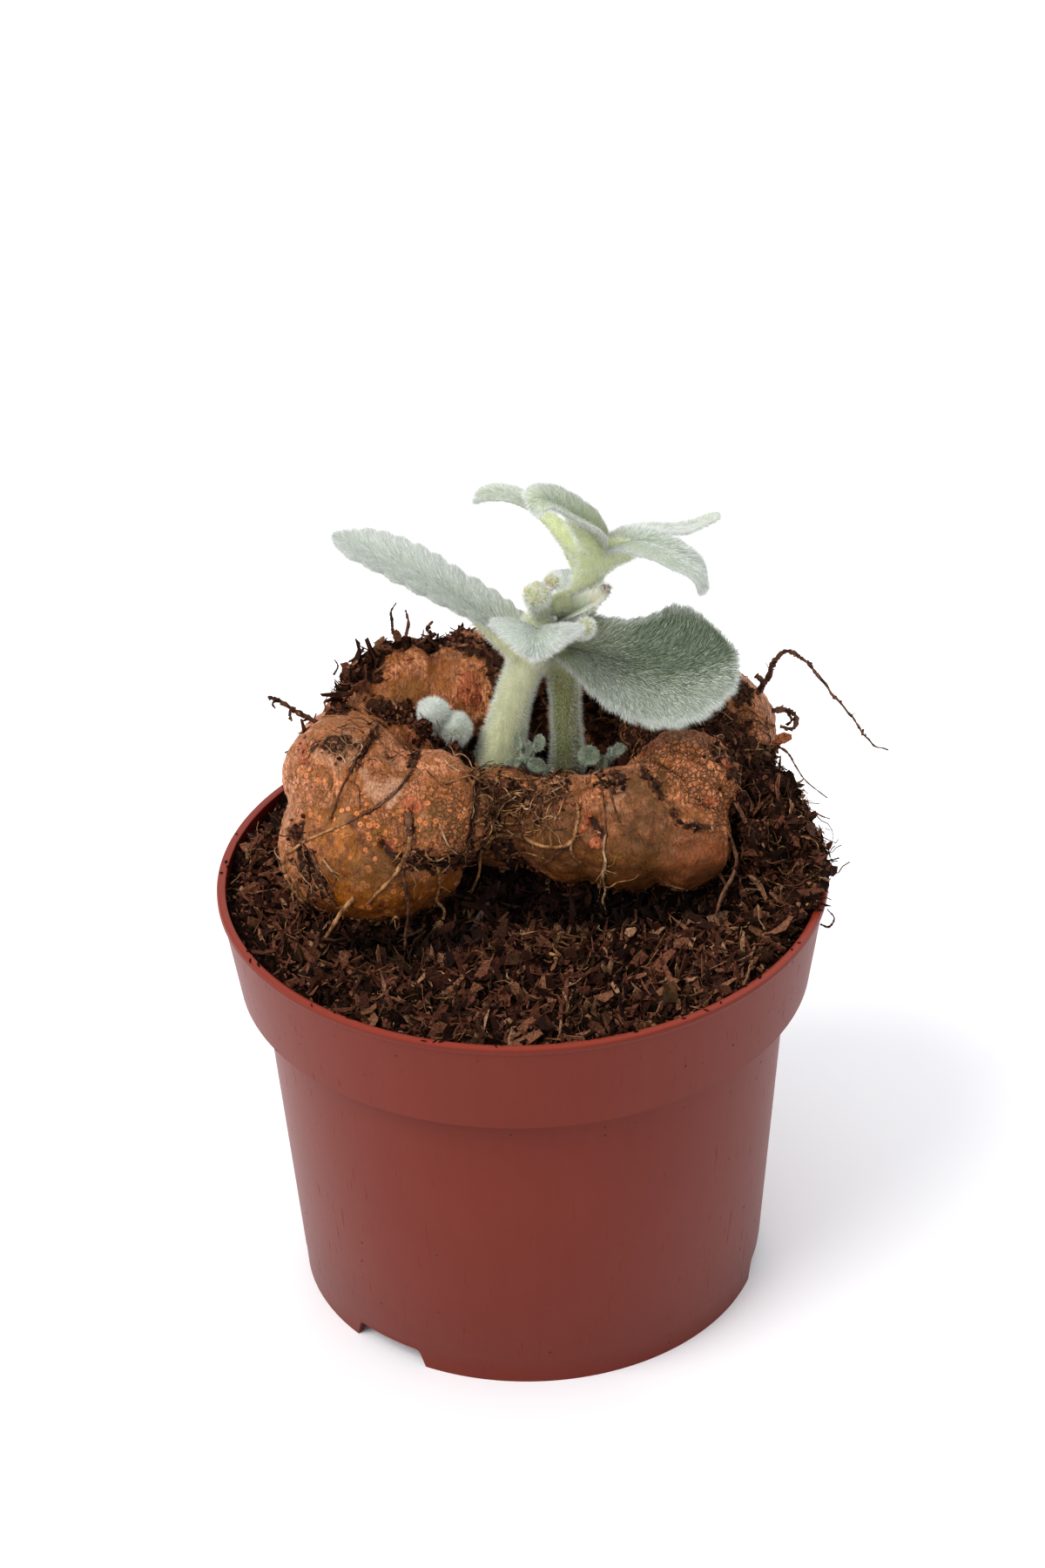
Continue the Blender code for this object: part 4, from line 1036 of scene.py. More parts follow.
tuberMarks = {
    "amber": (
        (((420, 1000), (410, 1030)), 12.0, 1.0),
        (((386, 955), (388, 1000), (405, 1060)), 8.0, 1.0),
        (((455, 1035), (500, 1030)), 8.5, 0.9),
        (((385, 975),), 6.0, 0.8),
        (((470, 790), (440, 800)), 4.5, 0.8),
        (((515, 760), (510, 775)), 4.0, 0.8),
        (((800, 985),), 5.0, 1.0),
        (((630, 965), (700, 985), (760, 985)), 7.0, 0.75),
        (((640, 1000), (720, 1015), (790, 1020)), 5.0, 0.8),
    ),
    "olive": (
        (((440, 985), (425, 1000)), 6.0, 0.8),
        (((500, 945), (475, 950)), 5.0, 0.8),
        (((735, 905), (745, 940), (745, 980)), 8.0, 1.0),
        (((630, 940), (640, 975), (700, 990)), 7.0, 0.8),
        (((755, 900),), 5.0, 0.7),
        (((465, 800),), 4.0, 0.6),
        (((390, 925),), 4.0, 0.5),
        (((830, 800),), 6.0, 0.5),
    ),
    "netted": (
        (((760, 855), (810, 890), (830, 925)), 9.0, 1.0),
        (((520, 925), (535, 950)), 7.5, 0.9),
        (((455, 905), (430, 935)), 7.0, 0.6),
        (((345, 900), (360, 930)), 7.0, 0.5),
        (((860, 830),), 7.0, 0.7),
    ),
    "dotted": (
        (((360, 900), (400, 930), (460, 930), (520, 945)), 8.0, 1.0),
        (((420, 975), (440, 960)), 6.0, 0.7),
        (((780, 865), (815, 900), (790, 905)), 8.0, 0.35),
        (((430, 1050), (500, 1010)), 7.0, 0.5),
    ),
    "salmon": (
        (((800, 980), (795, 995), (812, 985)), 6.5, 1.0),
    ),
    "shady": (
        (((600, 985), (680, 1000), (760, 1010), (820, 1005)), 5.0, 1.0),
        (((590, 950), (600, 985)), 5.0, 0.8),
        (((520, 975), (460, 1000)), 4.0, 0.5),
        (((640, 945), (700, 950), (770, 955)), 8.0, 0.75),
    ),
    "orange": (
        (((540, 780), (542, 800)), 3.2, 1.0),
        (((690, 962), (683, 968)), 1.9, 1.0),
        (((676, 938), (672, 950)), 1.3, 0.8),
        (((468, 922), (480, 926)), 1.8, 0.9),
        (((900, 845),), 2.4, 1.0),
        (((468, 758),), 1.6, 0.8),
        (((395, 790), (400, 800)), 2.2, 0.7),
        (((350, 870), (345, 855)), 2.2, 0.8),
        (((445, 968), (452, 975)), 1.8, 0.9),
        (((355, 1005), (360, 1025)), 2.0, 0.8),
        (((692, 905),), 1.5, 0.8),
        (((818, 920),), 1.6, 0.9),
        (((760, 852), (735, 862)), 2.6, 0.6),
        (((550, 890), (600, 880)), 2.6, 0.6),
    ),
    # pale peel patches, and painted highlights on the top of the globe
    "pale": (
        (((430, 903), (443, 915), (452, 902)), 3.0, 0.85),
        (((418, 888),), 1.8, 0.8),
        (((700, 890), (712, 900), (705, 925)), 2.4, 0.55),
        (((460, 880), (440, 870)), 2.6, 0.5),
        # painted highlight on the top of the globe
        (((380, 850), (400, 838)), 3.2, 0.5),
        (((785, 962), (815, 962), (832, 958)), 1.0, 0.45),
        # painted highlight on the top of the globe
        (((370, 862), (392, 868), (402, 850)), 4.0, 0.65),
        (((500, 750), (530, 752)), 2.0, 0.5),
        (((560, 900), (556, 925)), 2.0, 0.5),
    ),
    "dirt": (
        (((368, 794), (390, 768), (425, 740), (470, 733), (520, 735), (556, 745)), 3.2, 1.0),
        (((334, 838), (350, 806)), 1.8, 0.7),
        (((566, 750), (576, 790), (574, 830)), 2.8, 1.0),
        (((430, 812), (470, 822), (495, 845), (520, 865)), 2.6, 1.0),
        (((393, 810), (393, 820)), 1.5, 1.0),
        (((430, 835), (418, 862), (404, 885)), 1.1, 1.0),
        (((412, 772), (430, 778)), 1.8, 0.8),
        (((488, 838), (470, 880)), 1.0, 0.9),
        (((602, 780), (612, 820), (616, 850)), 3.4, 1.0),
        (((662, 790), (682, 830), (715, 850), (745, 852)), 3.8, 1.0),
        (((690, 800), (730, 825)), 3.6, 0.9),
        (((555, 900), (585, 915), (620, 915), (640, 905)), 4.6, 0.62),
        (((560, 950), (580, 975), (600, 1000)), 3.4, 0.9),
        (((470, 985), (500, 990), (540, 985)), 3.0, 1.0),
        (((343, 955), (352, 985), (368, 1020)), 2.8, 0.9),
        (((470, 945), (473, 965)), 1.2, 0.9),
        (((738, 886), (750, 900), (760, 916)), 1.5, 0.7),
        (((774, 937), (788, 947), (818, 950)), 1.3, 0.62),
        (((800, 800), (830, 840), (850, 860), (880, 880)), 5.0, 1.0),
        (((735, 838), (775, 832), (820, 845)), 2.4, 0.9),
        (((845, 880), (860, 910), (855, 950)), 5.0, 1.0),
        (((855, 785), (850, 800)), 3.0, 0.8),
        (((730, 850), (715, 870), (690, 880)), 2.6, 0.8),
        (((600, 1010), (680, 1035), (760, 1040), (820, 1030)), 3.4, 0.9),
        (((890, 800), (895, 850)), 2.6, 0.7),
    ),
}


def markTuber(mesh, tree):
    # stores how strongly each mark lies on each vertex
    spots = [vert.co.copy() for vert in mesh.vertices]
    wobbles = [1 + 0.5 * noise.noise(spot * 0.35) + 0.35 * noise.noise(spot * 1.1) for spot in spots]
    for name, strokes in tuberMarks.items():
        values = [0.0] * len(spots)
        for pixels, width, strength in strokes:
            route = onSkin(pixels, tree, 4 * len(pixels)) if len(pixels) > 1 else onSkin(pixels * 2, tree, 2)
            centre = route[len(route) // 2]
            reach = max((place - centre).length for place in route) + 2 * width
            for index, spot in enumerate(spots):
                if (spot - centre).length > reach:
                    continue
                away = min((spot - place).length for place in route) * wobbles[index] / width
                if away < 1.5:
                    closeness = min(1.0, 1.8 * math.exp(-2.4 * away * away))
                    values[index] = max(values[index], strength * closeness)
        if name == "dirt":
            for index, spot in enumerate(spots):
                # soil clings low down, in the hollow round the stems and at the back
                low = clamped((90.5 - spot.z) / 4) * 0.75
                back = clamped((spot.y - 42) / 6) * 0.5
                hollow = math.hypot((spot.x - 2) / 20, (spot.y - 23) / 12)
                values[index] = max(values[index], low, back, 0.9 if hollow < 1 and spot.z < 104 else 0)
        markVerts(mesh, name, values)
    markVerts(mesh, "crease", tuberShade)


def tuberPaint():
    paint = Paint("tuberSkin", 0.5, Specular_IOR_Level=0.30, Coat_Roughness=0.25)
    marks = {name: paint.attribute(name) for name in (*tuberMarks, "crease")}
    broad = paint.noise(0.07, 3)
    blotch = paint.noise(0.38, 4, rough=0.62)
    papery = paint.noise(1.3, 6, paint.stretched((1.0, 0.45, 0.30), (0.3, 0.5, 0.2)), 1.2, 0.72)
    crumple = paint.noise(0.6, 5, paint.stretched((0.4, 1.0, 1.0), (0.2, 0.1, 0.7)), 1.8, 0.7)
    fine = paint.noise(2.6, 4, rough=0.75)
    # thin dark fibres that run over the skin
    line = paint.noise(0.42, 4, paint.stretched((1, 0.7, 0.5), (0.5, 0.2, 0.4)), 2.2) - 0.5
    fibres = 1 - paint.between(paint.maths("ABSOLUTE", line), 0.003, 0.020)
    warp = paint.node("ShaderNodeTexNoise", {}, {"Vector": paint.spot, "Scale": 0.7, "Detail": 2.0}, "Color")
    edges = paint.cells(0.85, "DISTANCE_TO_EDGE", source=paint.vectors("ADD", paint.spot, warp))
    cracks = 1 - paint.between(edges, 0.02, 0.14)
    gold = paint.mix(blotch, (0.150, 0.042, 0.005), (0.42, 0.150, 0.024))
    tan = paint.mix(paint.between(papery, 0.38, 0.60), (0.285, 0.090, 0.030), (0.90, 0.385, 0.190))
    tan = paint.mix(paint.between(crumple, 0.52, 0.70) * 0.5, tan, (0.95, 0.49, 0.28))
    brown = paint.between(paint.noise(0.24, 4, rough=0.6), 0.47, 0.62)
    tan = paint.mix(brown * 0.36, tan, (0.24, 0.090, 0.036))
    skin = paint.mix(paint.between(blotch + broad * 0.6, 0.66, 0.96) * 0.70, tan, gold)
    skin = paint.mix(fibres * 0.65 * (1 - marks["amber"] * 0.6), skin, (0.085, 0.032, 0.014))
    skin = paint.mix(marks["netted"] * cracks * 0.90, skin, (0.125, 0.055, 0.022))
    smooth = paint.mix(paint.between(blotch, 0.3, 0.7), (0.115, 0.028, 0.002), (0.36, 0.125, 0.007))
    smooth = paint.mix(paint.between(papery, 0.60, 0.76) * 0.45, smooth, (0.44, 0.19, 0.07))
    skin = paint.mix(marks["amber"] * 0.92, skin, smooth)
    skin = paint.mix(marks["olive"] * paint.between(blotch + papery * 0.5, 0.35, 0.95) * 0.85, skin,
                     (0.150, 0.076, 0.022))
    salmon = paint.mix(papery, (0.15, 0.040, 0.008), (0.38, 0.120, 0.034))
    skin = paint.mix(marks["salmon"] * 0.9, skin, salmon)
    skin = paint.mix(marks["shady"] * paint.between(papery + blotch * 0.5, 0.5, 0.9) * 0.8, skin,
                     (0.105, 0.042, 0.016))
    dots = paint.cells(0.62)
    ringed = paint.between(dots, 0.42, 0.30) * paint.between(paint.lots(0.62), 0.36, 0.42)
    middle = paint.between(dots, 0.17, 0.08)
    ringed = ringed * (1 - middle * 0.8) * marks["dotted"]
    skin = paint.mix(ringed * 0.85, skin, (0.82, 0.28, 0.10))
    # pale peel, and painted highlight where the pale marks lie on the globe's top
    peelAndHighlight = paint.between(marks["pale"] * (papery * 1.1 + crumple * 0.9), 0.30, 0.95)
    skin = paint.mix(peelAndHighlight * 0.85, skin, paint.mix(papery, (0.46, 0.20, 0.10), (0.88, 0.54, 0.36)))
    flaky = paint.between(marks["orange"] * (0.35 + crumple * 0.7 + fine * 0.6), 0.50, 0.72)
    rust = paint.mix(paint.between(papery, 0.35, 0.7), (0.22, 0.050, 0.018), (0.74, 0.24, 0.105))
    skin = paint.mix(flaky * 0.9, skin, rust)
    freckles = paint.between(paint.noise(2.4, 3, rough=0.7), 0.63, 0.70) * 0.4
    skin = paint.mix(freckles, skin, (0.070, 0.028, 0.013))
    skin = paint.mix(paint.between(fine, 0.60, 0.72) * 0.15, skin, (0.72, 0.40, 0.23))
    # painted shade: the skin is darkened in the creases
    creaseShadow = paint.between(marks["crease"] * (0.5 + fine * 0.9), 0.35, 0.80)
    skin = paint.mix(creaseShadow * 0.9, skin, (0.030, 0.013, 0.008))
    soiled = paint.between(marks["dirt"] * (0.15 + blotch * 0.8 + fine * 0.75), 0.46, 0.66)
    film = paint.between(marks["dirt"] * (0.4 + blotch), 0.25, 0.75) * 0.45
    soilTint = paint.mix(fine, (0.030, 0.013, 0.008), (0.110, 0.050, 0.028))
    skin = paint.mix(paint.maths("MAXIMUM", film, soiled * 0.93), skin, soilTint)
    paint.colour(skin)
    paint.gloss(0.44 - marks["amber"] * 0.18 + soiled * 0.4 + papery * 0.12 + creaseShadow * 0.25)
    paint.plug(paint.shader.inputs["Coat Weight"], marks["amber"] * 0.15 * (1 - soiled))
    relief = papery * 0.6 * (1 - marks["amber"] * 0.7)
    relief = relief + crumple * 0.6 * (1 - marks["amber"] * 0.6) + blotch * 0.3
    relief = relief - marks["netted"] * cracks * 0.4 + ringed * 0.25 + peelAndHighlight * 0.2 + flaky * 0.3
    relief = relief + fibres * 0.15 + fine * 0.18 + soiled * (0.2 + paint.noise(1.9, 4, rough=0.8) * 0.8)
    paint.bump(relief, 0.8)
    return paint


markTuber(tuberMesh, tuberTree)
settle("tuberBody", tuberMesh, tuberPaint(), ["tuber"])
print("tuber finished")


# Dirt that clings to the tuber, and flakes of its skin

clinging = {
    "chips": (0.50, (0.25, 0.85)),    # per square mm, least and greatest scale
    "crumbs": (0.80, (0.35, 1.35)),
    "fibres": (0.13, (0.4, 1.2)),
    "flakes": (0.40, (0.25, 0.75)),
    # larger orange flakes that stand out from the skin: pixel, depth y, scale
    "proud": (((900, 846), 22, 1.5), ((893, 852), 22, 0.9)),
    "tilt": 1.2,
    "tone": 0.62,
}


flakeTones = [(0.0, (0.16, 0.040, 0.015)), (0.5, (0.42, 0.13, 0.05)), (1.0, (0.58, 0.28, 0.15))]


def makeClinging():
    chips = several(flake, "chip", 61, (3.2, 1.3, 0.5), (2.2, 1.2, -0.4), (4.0, 0.9, 0.6))
    chips += several(lump, "chip", 64, ((1.3, 0.7, 0.35),), ((0.9, 0.7, 0.5),))
    crumbs = several(lump, "crumb", 71, ((0.6, 0.5, 0.4), 0.4), ((0.75, 0.35, 0.3), 0.4),
                     ((0.42, 0.42, 0.36), 0.4))
    fibres = several(fibre, "fibre", 81, (7, 0.15, 0.6), (5, 0.12, 0.8), (8, 0.12, 0.6))
    sowings = (("Chips", chips, chipTones, 0.9, 0.15), ("Crumbs", crumbs, chipTones, 0.6, 0.25),
               ("Fibres", fibres, fibreTones, 0.5, 0.6))
    for number, (label, shapes, tones, jitter, lift) in enumerate(sowings):
        perArea, size = clinging[label.lower()]
        mesh = scatter(tuberMesh, shapes, perArea, size, 91 + 10 * number, "dirt", jitter=jitter, lift=lift)
        settle("dirt" + label, mesh, chipPaint("dirt" + label, tones), smooth=False)
    skins = several(flake, "flake", 66, (2.2, 1.5, 0.5), (1.5, 1.2, 0.7), (2.8, 0.9, -0.5))
    large = skins[0].data
    perArea, size = clinging["flakes"]
    bm = meshCopy(scatter(tuberMesh, skins, perArea, size, 131, "orange", jitter=0.35, lift=0.1))
    tone = bm.verts.layers.float["tone"]
    for pixel, depth, scale in clinging["proud"]:
        start = len(bm.verts)
        bm.from_mesh(large)
        place = Matrix.Translation(atDepth(*pixel, depth))
        place = place @ Matrix.Rotation(clinging["tilt"], 4, "X") @ Matrix.Scale(scale, 4)
        bm.verts.ensure_lookup_table()
        for vert in bm.verts[start:]:
            vert.co = place @ vert.co
            vert[tone] = clinging["tone"]
    settle("skinFlakes", bm, chipPaint("skinFlakes", flakeTones), smooth=False)


makeClinging()
print("clinging dirt made")


# Roots: routes through the photograph's pixels, or in millimetres for the one that hangs in the air

roots = {
    "freeRoute": ((45, 29, 108), (49.4, 30, 113.9), (50.8, 30, 118.5), (52.8, 29, 121.4), (55.4, 28, 121.6),
                  (58.6, 26, 119), (62.4, 24, 114.6), (65.8, 22, 110.5), (69.2, 20, 105.8),
                  (73.2, 20, 103.6)),
    "freeThick": 0.62,
    "freeThin": 0.14,
    # lying on the skin or the soil: pixels, thickness at the start and at the end
    "lying": {
        "Tan": (
            (((330, 980), (352, 965), (372, 956), (398, 945)), 0.30, 0.27),
            (((562, 962), (578, 958), (602, 962), (622, 970), (645, 971), (657, 964), (665, 940), (662, 922)),
             0.50, 0.34),
            (((655, 968), (657, 980), (667, 989)), 0.34, 0.20),
            (((550, 945), (575, 952), (598, 958), (615, 955), (606, 938)), 0.34, 0.22),
            (((552, 935), (580, 945), (610, 945), (632, 952), (650, 950)), 0.30, 0.20),
            (((540, 898), (570, 890), (600, 896), (640, 890), (680, 884)), 0.30, 0.20),
            (((560, 925), (590, 912), (615, 925), (640, 915), (662, 918)), 0.28, 0.18),
            (((575, 985), (600, 978), (625, 985)), 0.24, 0.16),
            (((545, 878), (548, 890), (540, 902)), 0.55, 0.25),
            (((510, 900), (535, 892), (562, 886)), 0.30, 0.20),
            (((740, 880), (728, 866), (735, 848)), 0.30, 0.22),
            (((854, 861), (872, 860), (891, 857)), 0.28, 0.20),
            (((860, 814), (880, 828), (894, 837)), 0.26, 0.20),
            (((894, 920), (900, 940), (912, 957), (931, 963)), 0.34, 0.22),
            (((877, 1008), (895, 1016), (914, 1026)), 0.24, 0.16),
            (((612, 1085), (640, 1100), (652, 1108)), 0.42, 0.30),
        ),
        "Dark": (
            (((396, 946), (425, 931), (450, 915), (465, 895), (474, 880)), 0.27, 0.23),
            (((474, 880), (480, 855), (487, 838)), 0.24, 0.20),
            (((469, 932), (471, 945), (472, 960)), 0.80, 0.70),
            (((425, 845), (410, 868), (400, 890), (388, 915), (380, 940)), 0.26, 0.14),
            (((404, 897), (412, 905), (413, 930)), 0.18, 0.12),
            (((690, 885), (692, 905), (695, 930), (697, 957)), 0.20, 0.20),
            (((757, 1054), (766, 1071), (746, 1100)), 0.34, 0.22),
            (((452, 862), (468, 872), (482, 885)), 0.16, 0.12),
            (((490, 885), (500, 895), (510, 905)), 0.18, 0.12),
            (((700, 905), (705, 925), (712, 945)), 0.22, 0.16),
            (((250, 1045), (238, 1052), (222, 1064)), 0.22, 0.14),
        ),
        "Grey": (
            (((572, 1012), (560, 1040), (545, 1065), (530, 1087), (515, 1099), (485, 1100)), 0.72, 0.62),
        ),
        "Pale": (
            (((507, 855), (522, 851), (535, 858)), 0.22, 0.14),
            (((508, 868), (515, 878), (527, 886)), 0.20, 0.12),
            (((505, 945), (512, 965), (522, 978), (540, 982)), 0.22, 0.16),
        ),
    },
    # hanging clear of the tuber from the first pixel to the last
    "hanging": {
        "Tan": (
            (((472, 958), (470, 970), (465, 985), (452, 1005), (430, 1028), (422, 1037)), 0.58, 0.26),
            (((454, 982), (468, 992), (482, 1002)), 0.26, 0.12),
            (((462, 975), (455, 985), (448, 992)), 0.20, 0.12),
            (((502, 995), (504, 1020), (501, 1033), (510, 1045), (508, 1056), (502, 1060)), 0.36, 0.28),
            (((562, 962), (552, 980), (550, 1002), (542, 1022), (540, 1030)), 0.40, 0.26),
            (((407, 1030), (392, 1047), (378, 1070), (366, 1084)), 0.52, 0.34),
            (((327, 985), (331, 1005), (344, 1027), (357, 1040)), 0.62, 0.45),
            (((440, 1066), (448, 1058), (455, 1051), (458, 1062), (452, 1073)), 0.30, 0.24),
        ),
        "Dark": (
            (((462, 1000), (466, 1020), (469, 1045), (466, 1070), (465, 1092)), 0.38, 0.30),
            (((357, 975), (368, 1000), (374, 1022), (388, 1042)), 0.36, 0.24),
            (((350, 985), (356, 1010), (354, 1035), (362, 1052)), 0.30, 0.20),
            (((837, 958), (846, 986), (840, 1008), (828, 1030), (820, 1064)), 0.45, 0.32),
            (((826, 1003), (834, 1020), (824, 1045)), 0.36, 0.24),
            (((846, 980), (850, 1005), (852, 1030)), 0.26, 0.16),
            (((545, 1000), (552, 1010), (548, 1025)), 0.30, 0.18),
        ),
        "Pale": (
            (((697, 957), (694, 977), (696, 991), (693, 1005), (695, 1023), (692, 1035), (697, 1050)),
             0.30, 0.22),
            (((696, 985), (692, 1000), (688, 1030)), 0.16, 0.10),
            (((372, 985), (382, 1000), (392, 1012)), 0.20, 0.12),
        ),
    },
    # sticking out into the air: pixels with their depth
    "proud": {
        "Dark": (
            (((376, 836, 18), (352, 823, 16), (337, 815, 15), (322, 805, 13), (308, 800, 12)), 0.62, 0.35),
            (((334, 813, 14.5), (333, 820, 14), (335, 828, 13.5)), 0.32, 0.20),
            (((318, 803, 13), (313, 808, 13), (316, 813, 13)), 0.26, 0.20),
            (((451, 728, 37), (450, 712, 37), (449, 702, 37), (455, 692, 38)), 0.34, 0.16),
            (((466, 730, 38), (469, 715, 38), (466, 701, 38)), 0.42, 0.20),
            (((497, 728, 40), (490, 722, 40), (497, 713, 40)), 0.36, 0.25),
            (((526, 728, 42), (527, 718, 42)), 0.40, 0.25),
            (((383, 775, 30), (388, 765, 30), (384, 757, 30)), 0.22, 0.12),
            (((886, 816, 25), (903, 815, 25), (914, 823, 24), (911, 836, 23), (896, 834, 23)), 0.62, 0.36),
            (((903, 816, 25), (909, 826, 24), (905, 832, 23)), 0.32, 0.2),
            (((868, 775, 30), (876, 783, 29), (873, 795, 28)), 0.60, 0.40),
            (((892, 856, 21), (902, 862, 19), (908, 869, 18.5), (914, 880, 16.5), (926, 897, 15),
              (950, 916, 14)), 0.36, 0.13),
            (((935, 932, 8), (944, 937, 7), (953, 940, 6)), 0.24, 0.12),
            (((905, 905, 12), (918, 898, 12), (923, 894, 12)), 0.28, 0.16),
            (((942, 1061, -9), (952, 1064, -10), (958, 1054, -11), (950, 1044, -10)), 0.26, 0.18),
            (((347, 868, 12), (336, 862, 12), (327, 864, 12)), 0.30, 0.18),
        ),
    },
    "matSpots": (
        # pixel, reach in mm, number of thin roots strewn there, their length
        ((590, 905), 8.0, 36, 9.0),
        ((600, 918), 7.0, 34, 4.5),
        ((578, 930), 5.0, 20, 4.5),
        ((560, 884), 6.0, 18, 3.5),
        ((620, 884), 6.0, 22, 3.5),
        ((560, 935), 5.0, 26, 8.0),
        ((620, 940), 6.0, 26, 9.0),
        ((640, 885), 7.0, 22, 7.0),
        ((560, 885), 5.0, 14, 7.0),
        ((450, 735), 9.0, 20, 6.0),
        ((400, 770), 6.0, 12, 6.0),
        ((520, 850), 6.0, 14, 7.0),
        ((840, 850), 8.0, 24, 9.0),
        ((890, 900), 8.0, 24, 9.0),
        ((900, 960), 9.0, 30, 9.0),
        ((850, 960), 6.0, 18, 9.0),
        ((345, 1000), 6.0, 20, 8.0),
        ((300, 990), 8.0, 16, 8.0),
        ((500, 1000), 6.0, 14, 7.0),
        ((800, 1030), 8.0, 14, 8.0),
        ((720, 850), 6.0, 12, 7.0),
        ((660, 900), 5.0, 12, 9.0),
        ((770, 1060), 14.0, 18, 8.0),
        ((560, 1100), 20.0, 34, 8.0),
    ),
    "matThick": 0.15,
    "roundFrom": 0.3,    # thicker roots are made rounder
    "backMats": 130,
}

rootTones = {
    # dark and light ends of each kind's colour
    "Tan": ((0.150, 0.068, 0.028), (0.48, 0.262, 0.118)),
    "Dark": ((0.040, 0.018, 0.011), (0.190, 0.090, 0.050)),
    "Grey": ((0.055, 0.038, 0.036), (0.125, 0.088, 0.084)),
    "Pale": ((0.30, 0.17, 0.085), (0.62, 0.44, 0.27)),
}


def rootPaint(name, tones):
    paint = Paint(name, 0.75, Specular_IOR_Level=0.2)
    patch = paint.noise(0.45, 4, rough=0.65)
    grain = paint.noise(3.0, 4, rough=0.7)
    tint = paint.mix(paint.between(patch, 0.35, 0.65), *tones)
    soiled = paint.between(paint.noise(1.3, 3, rough=0.7), 0.58, 0.66)
    paint.colour(paint.mix(soiled * 0.75, tint, (0.045, 0.024, 0.015)))
    paint.bump(grain + patch, 0.18)
    return paint


def hangingRoute(pixels, count):
    # depth runs evenly from what carries the first pixel to what carries the last
    first = onSkin(pixels[:2], groundTree, 2)[0]
    last = onSkin(pixels[-2:], groundTree, 2)[-1]
    route = []
    flat = smoothRoute([(u, v, 0) for u, v in pixels], count)
    for index, (u, v, _) in enumerate(flat):
        share = index / (count - 1)
        place = atDepth(u, v, first.y + (last.y - first.y) * share)
        near, normal, _, _ = groundTree.ray_cast(eye, pixelRay(u, v))
        if near is not None and (near - eye).length < (place - eye).length:
            place = near + normal * 0.3
        route.append(place)
    return route


def wander(start, draw, length, step, lift):
    # a thin root that strays over a surface, now close to it and now a little proud
    way = anyWay(draw).normalized()
    place = start
    route = []
    for index in range(max(3, int(length / step))):
        near, normal, _, _ = groundTree.find_nearest(place)
        route.append(near + normal * lift * (0.25 + 1.6 * abs(math.sin(index * 0.5 + start.x))))
        way = (way + anyWay(draw, 0.45)).normalized()
        way = (way - normal * way.dot(normal)).normalized()
        place = near + way * step
    return route


def isThick(route):
    return route[0][1] > roots["roundFrom"]


def makeRoots():
    draw = random.Random(5)
    kinds = {name: [] for name in rootTones}

    def add(kind, route, thick, thin, knobs=0.22):
        kinds[kind].append(tapered(route, thick, thin, knobs, draw))
        return route

    for kind, entries in roots["lying"].items():
        for pixels, thick, thin in entries:
            add(kind, onSkin(pixels, groundTree, 6 * len(pixels), thick * 0.6), thick, thin)
    for kind, entries in roots["hanging"].items():
        for pixels, thick, thin in entries:
            route = add(kind, hangingRoute(pixels, 7 * len(pixels)), thick, thin)
            for _ in range(3):
                # short side hairs
                at = route[draw.randrange(len(route))]
                out = Vector([draw.uniform(-1, 1), draw.uniform(-1, 0.3), draw.uniform(-1, 0.4)]) * 2.4
                lifted = Vector((0, 0, draw.uniform(-0.4, 0.4)))
                side = smoothRoute([at, at + out * 0.5 + lifted, at + out], 6)
                add(kind, side, thin * 0.5, 0.05)
    for kind, entries in roots["proud"].items():
        for pixels, thick, thin in entries:
            places = [atDepth(*pixel) for pixel in pixels]
            add(kind, smoothRoute(places, 7 * len(places)), thick, thin, 0.35)
    free = smoothRoute(roots["freeRoute"], 90)
    for index, place in enumerate(free):
        sway = [noise.noise(place * 0.4 + Vector((shift, 0, 0))) * 0.45 for shift in (0, 9, 17)]
        free[index] = place + Vector(sway)
    add("Dark", free, roots["freeThick"], roots["freeThin"], 0.35)
    for at in range(6, 80, 9):
        out = anyWay(draw) * draw.uniform(0.8, 2.0)
        add("Dark", smoothRoute([free[at], free[at] + out * 0.6, free[at] + out], 5), 0.12, 0.05)
    for pixel, reach, number, length in roots["matSpots"]:
        centre = onSkin([pixel] * 2, groundTree, 2)[0]
        for _ in range(number):
            start = centre + anyWay(draw, reach)
            kind = draw.choices(("Tan", "Dark", "Pale"), (6, 7, 1))[0]
            route = wander(start, draw, length * draw.uniform(0.5, 1.3), 0.8, draw.uniform(0.1, 0.8))
            add(kind, smoothRoute(route, 2 * len(route)), roots["matThick"] * draw.uniform(0.6, 1.5), 0.06)
    for _ in range(roots["backMats"]):
        # the sides and the back, which the photograph doesn't show
        angle = draw.uniform(0.1, 0.9) * math.pi
        start = Vector((math.cos(angle) * 40, 22 + math.sin(angle) * 26, draw.uniform(90, 112)))
        route = wander(start, draw, draw.uniform(6, 16), 0.9, draw.uniform(0.1, 0.6))
        kind = draw.choices(("Tan", "Dark"), (3, 4))[0]
        add(kind, smoothRoute(route, 2 * len(route)), draw.uniform(0.14, 0.34), 0.08)
    for kind, routes in kinds.items():
        thick = [route for route in routes if isThick(route)]
        thin = [route for route in routes if not isThick(route)]
        bm = meshCopy(*[strands(group, roundness) for group, roundness in ((thick, 2), (thin, 0)) if group])
        settle("roots" + kind, bm, rootPaint("roots" + kind, rootTones[kind]))
    return kinds


def makeRootCrumbs(routes):
    # soil that hangs on the thicker dark roots
    carried = strands([route for route in routes if isThick(route)])
    crumbs = several(lump, "crumb", 75, ((0.5, 0.42, 0.36), 0.4), ((0.7, 0.3, 0.3), 0.4))
    mesh = scatter(carried, crumbs, 0.45, (0.4, 1.1), 141, jitter=0.6)
    settle("rootCrumbs", mesh, chipPaint("rootCrumbs", chipTones))


makeRootCrumbs(makeRoots()["Dark"])
print("roots made")


# Fur: thin one-sided hairs sown on every green surface

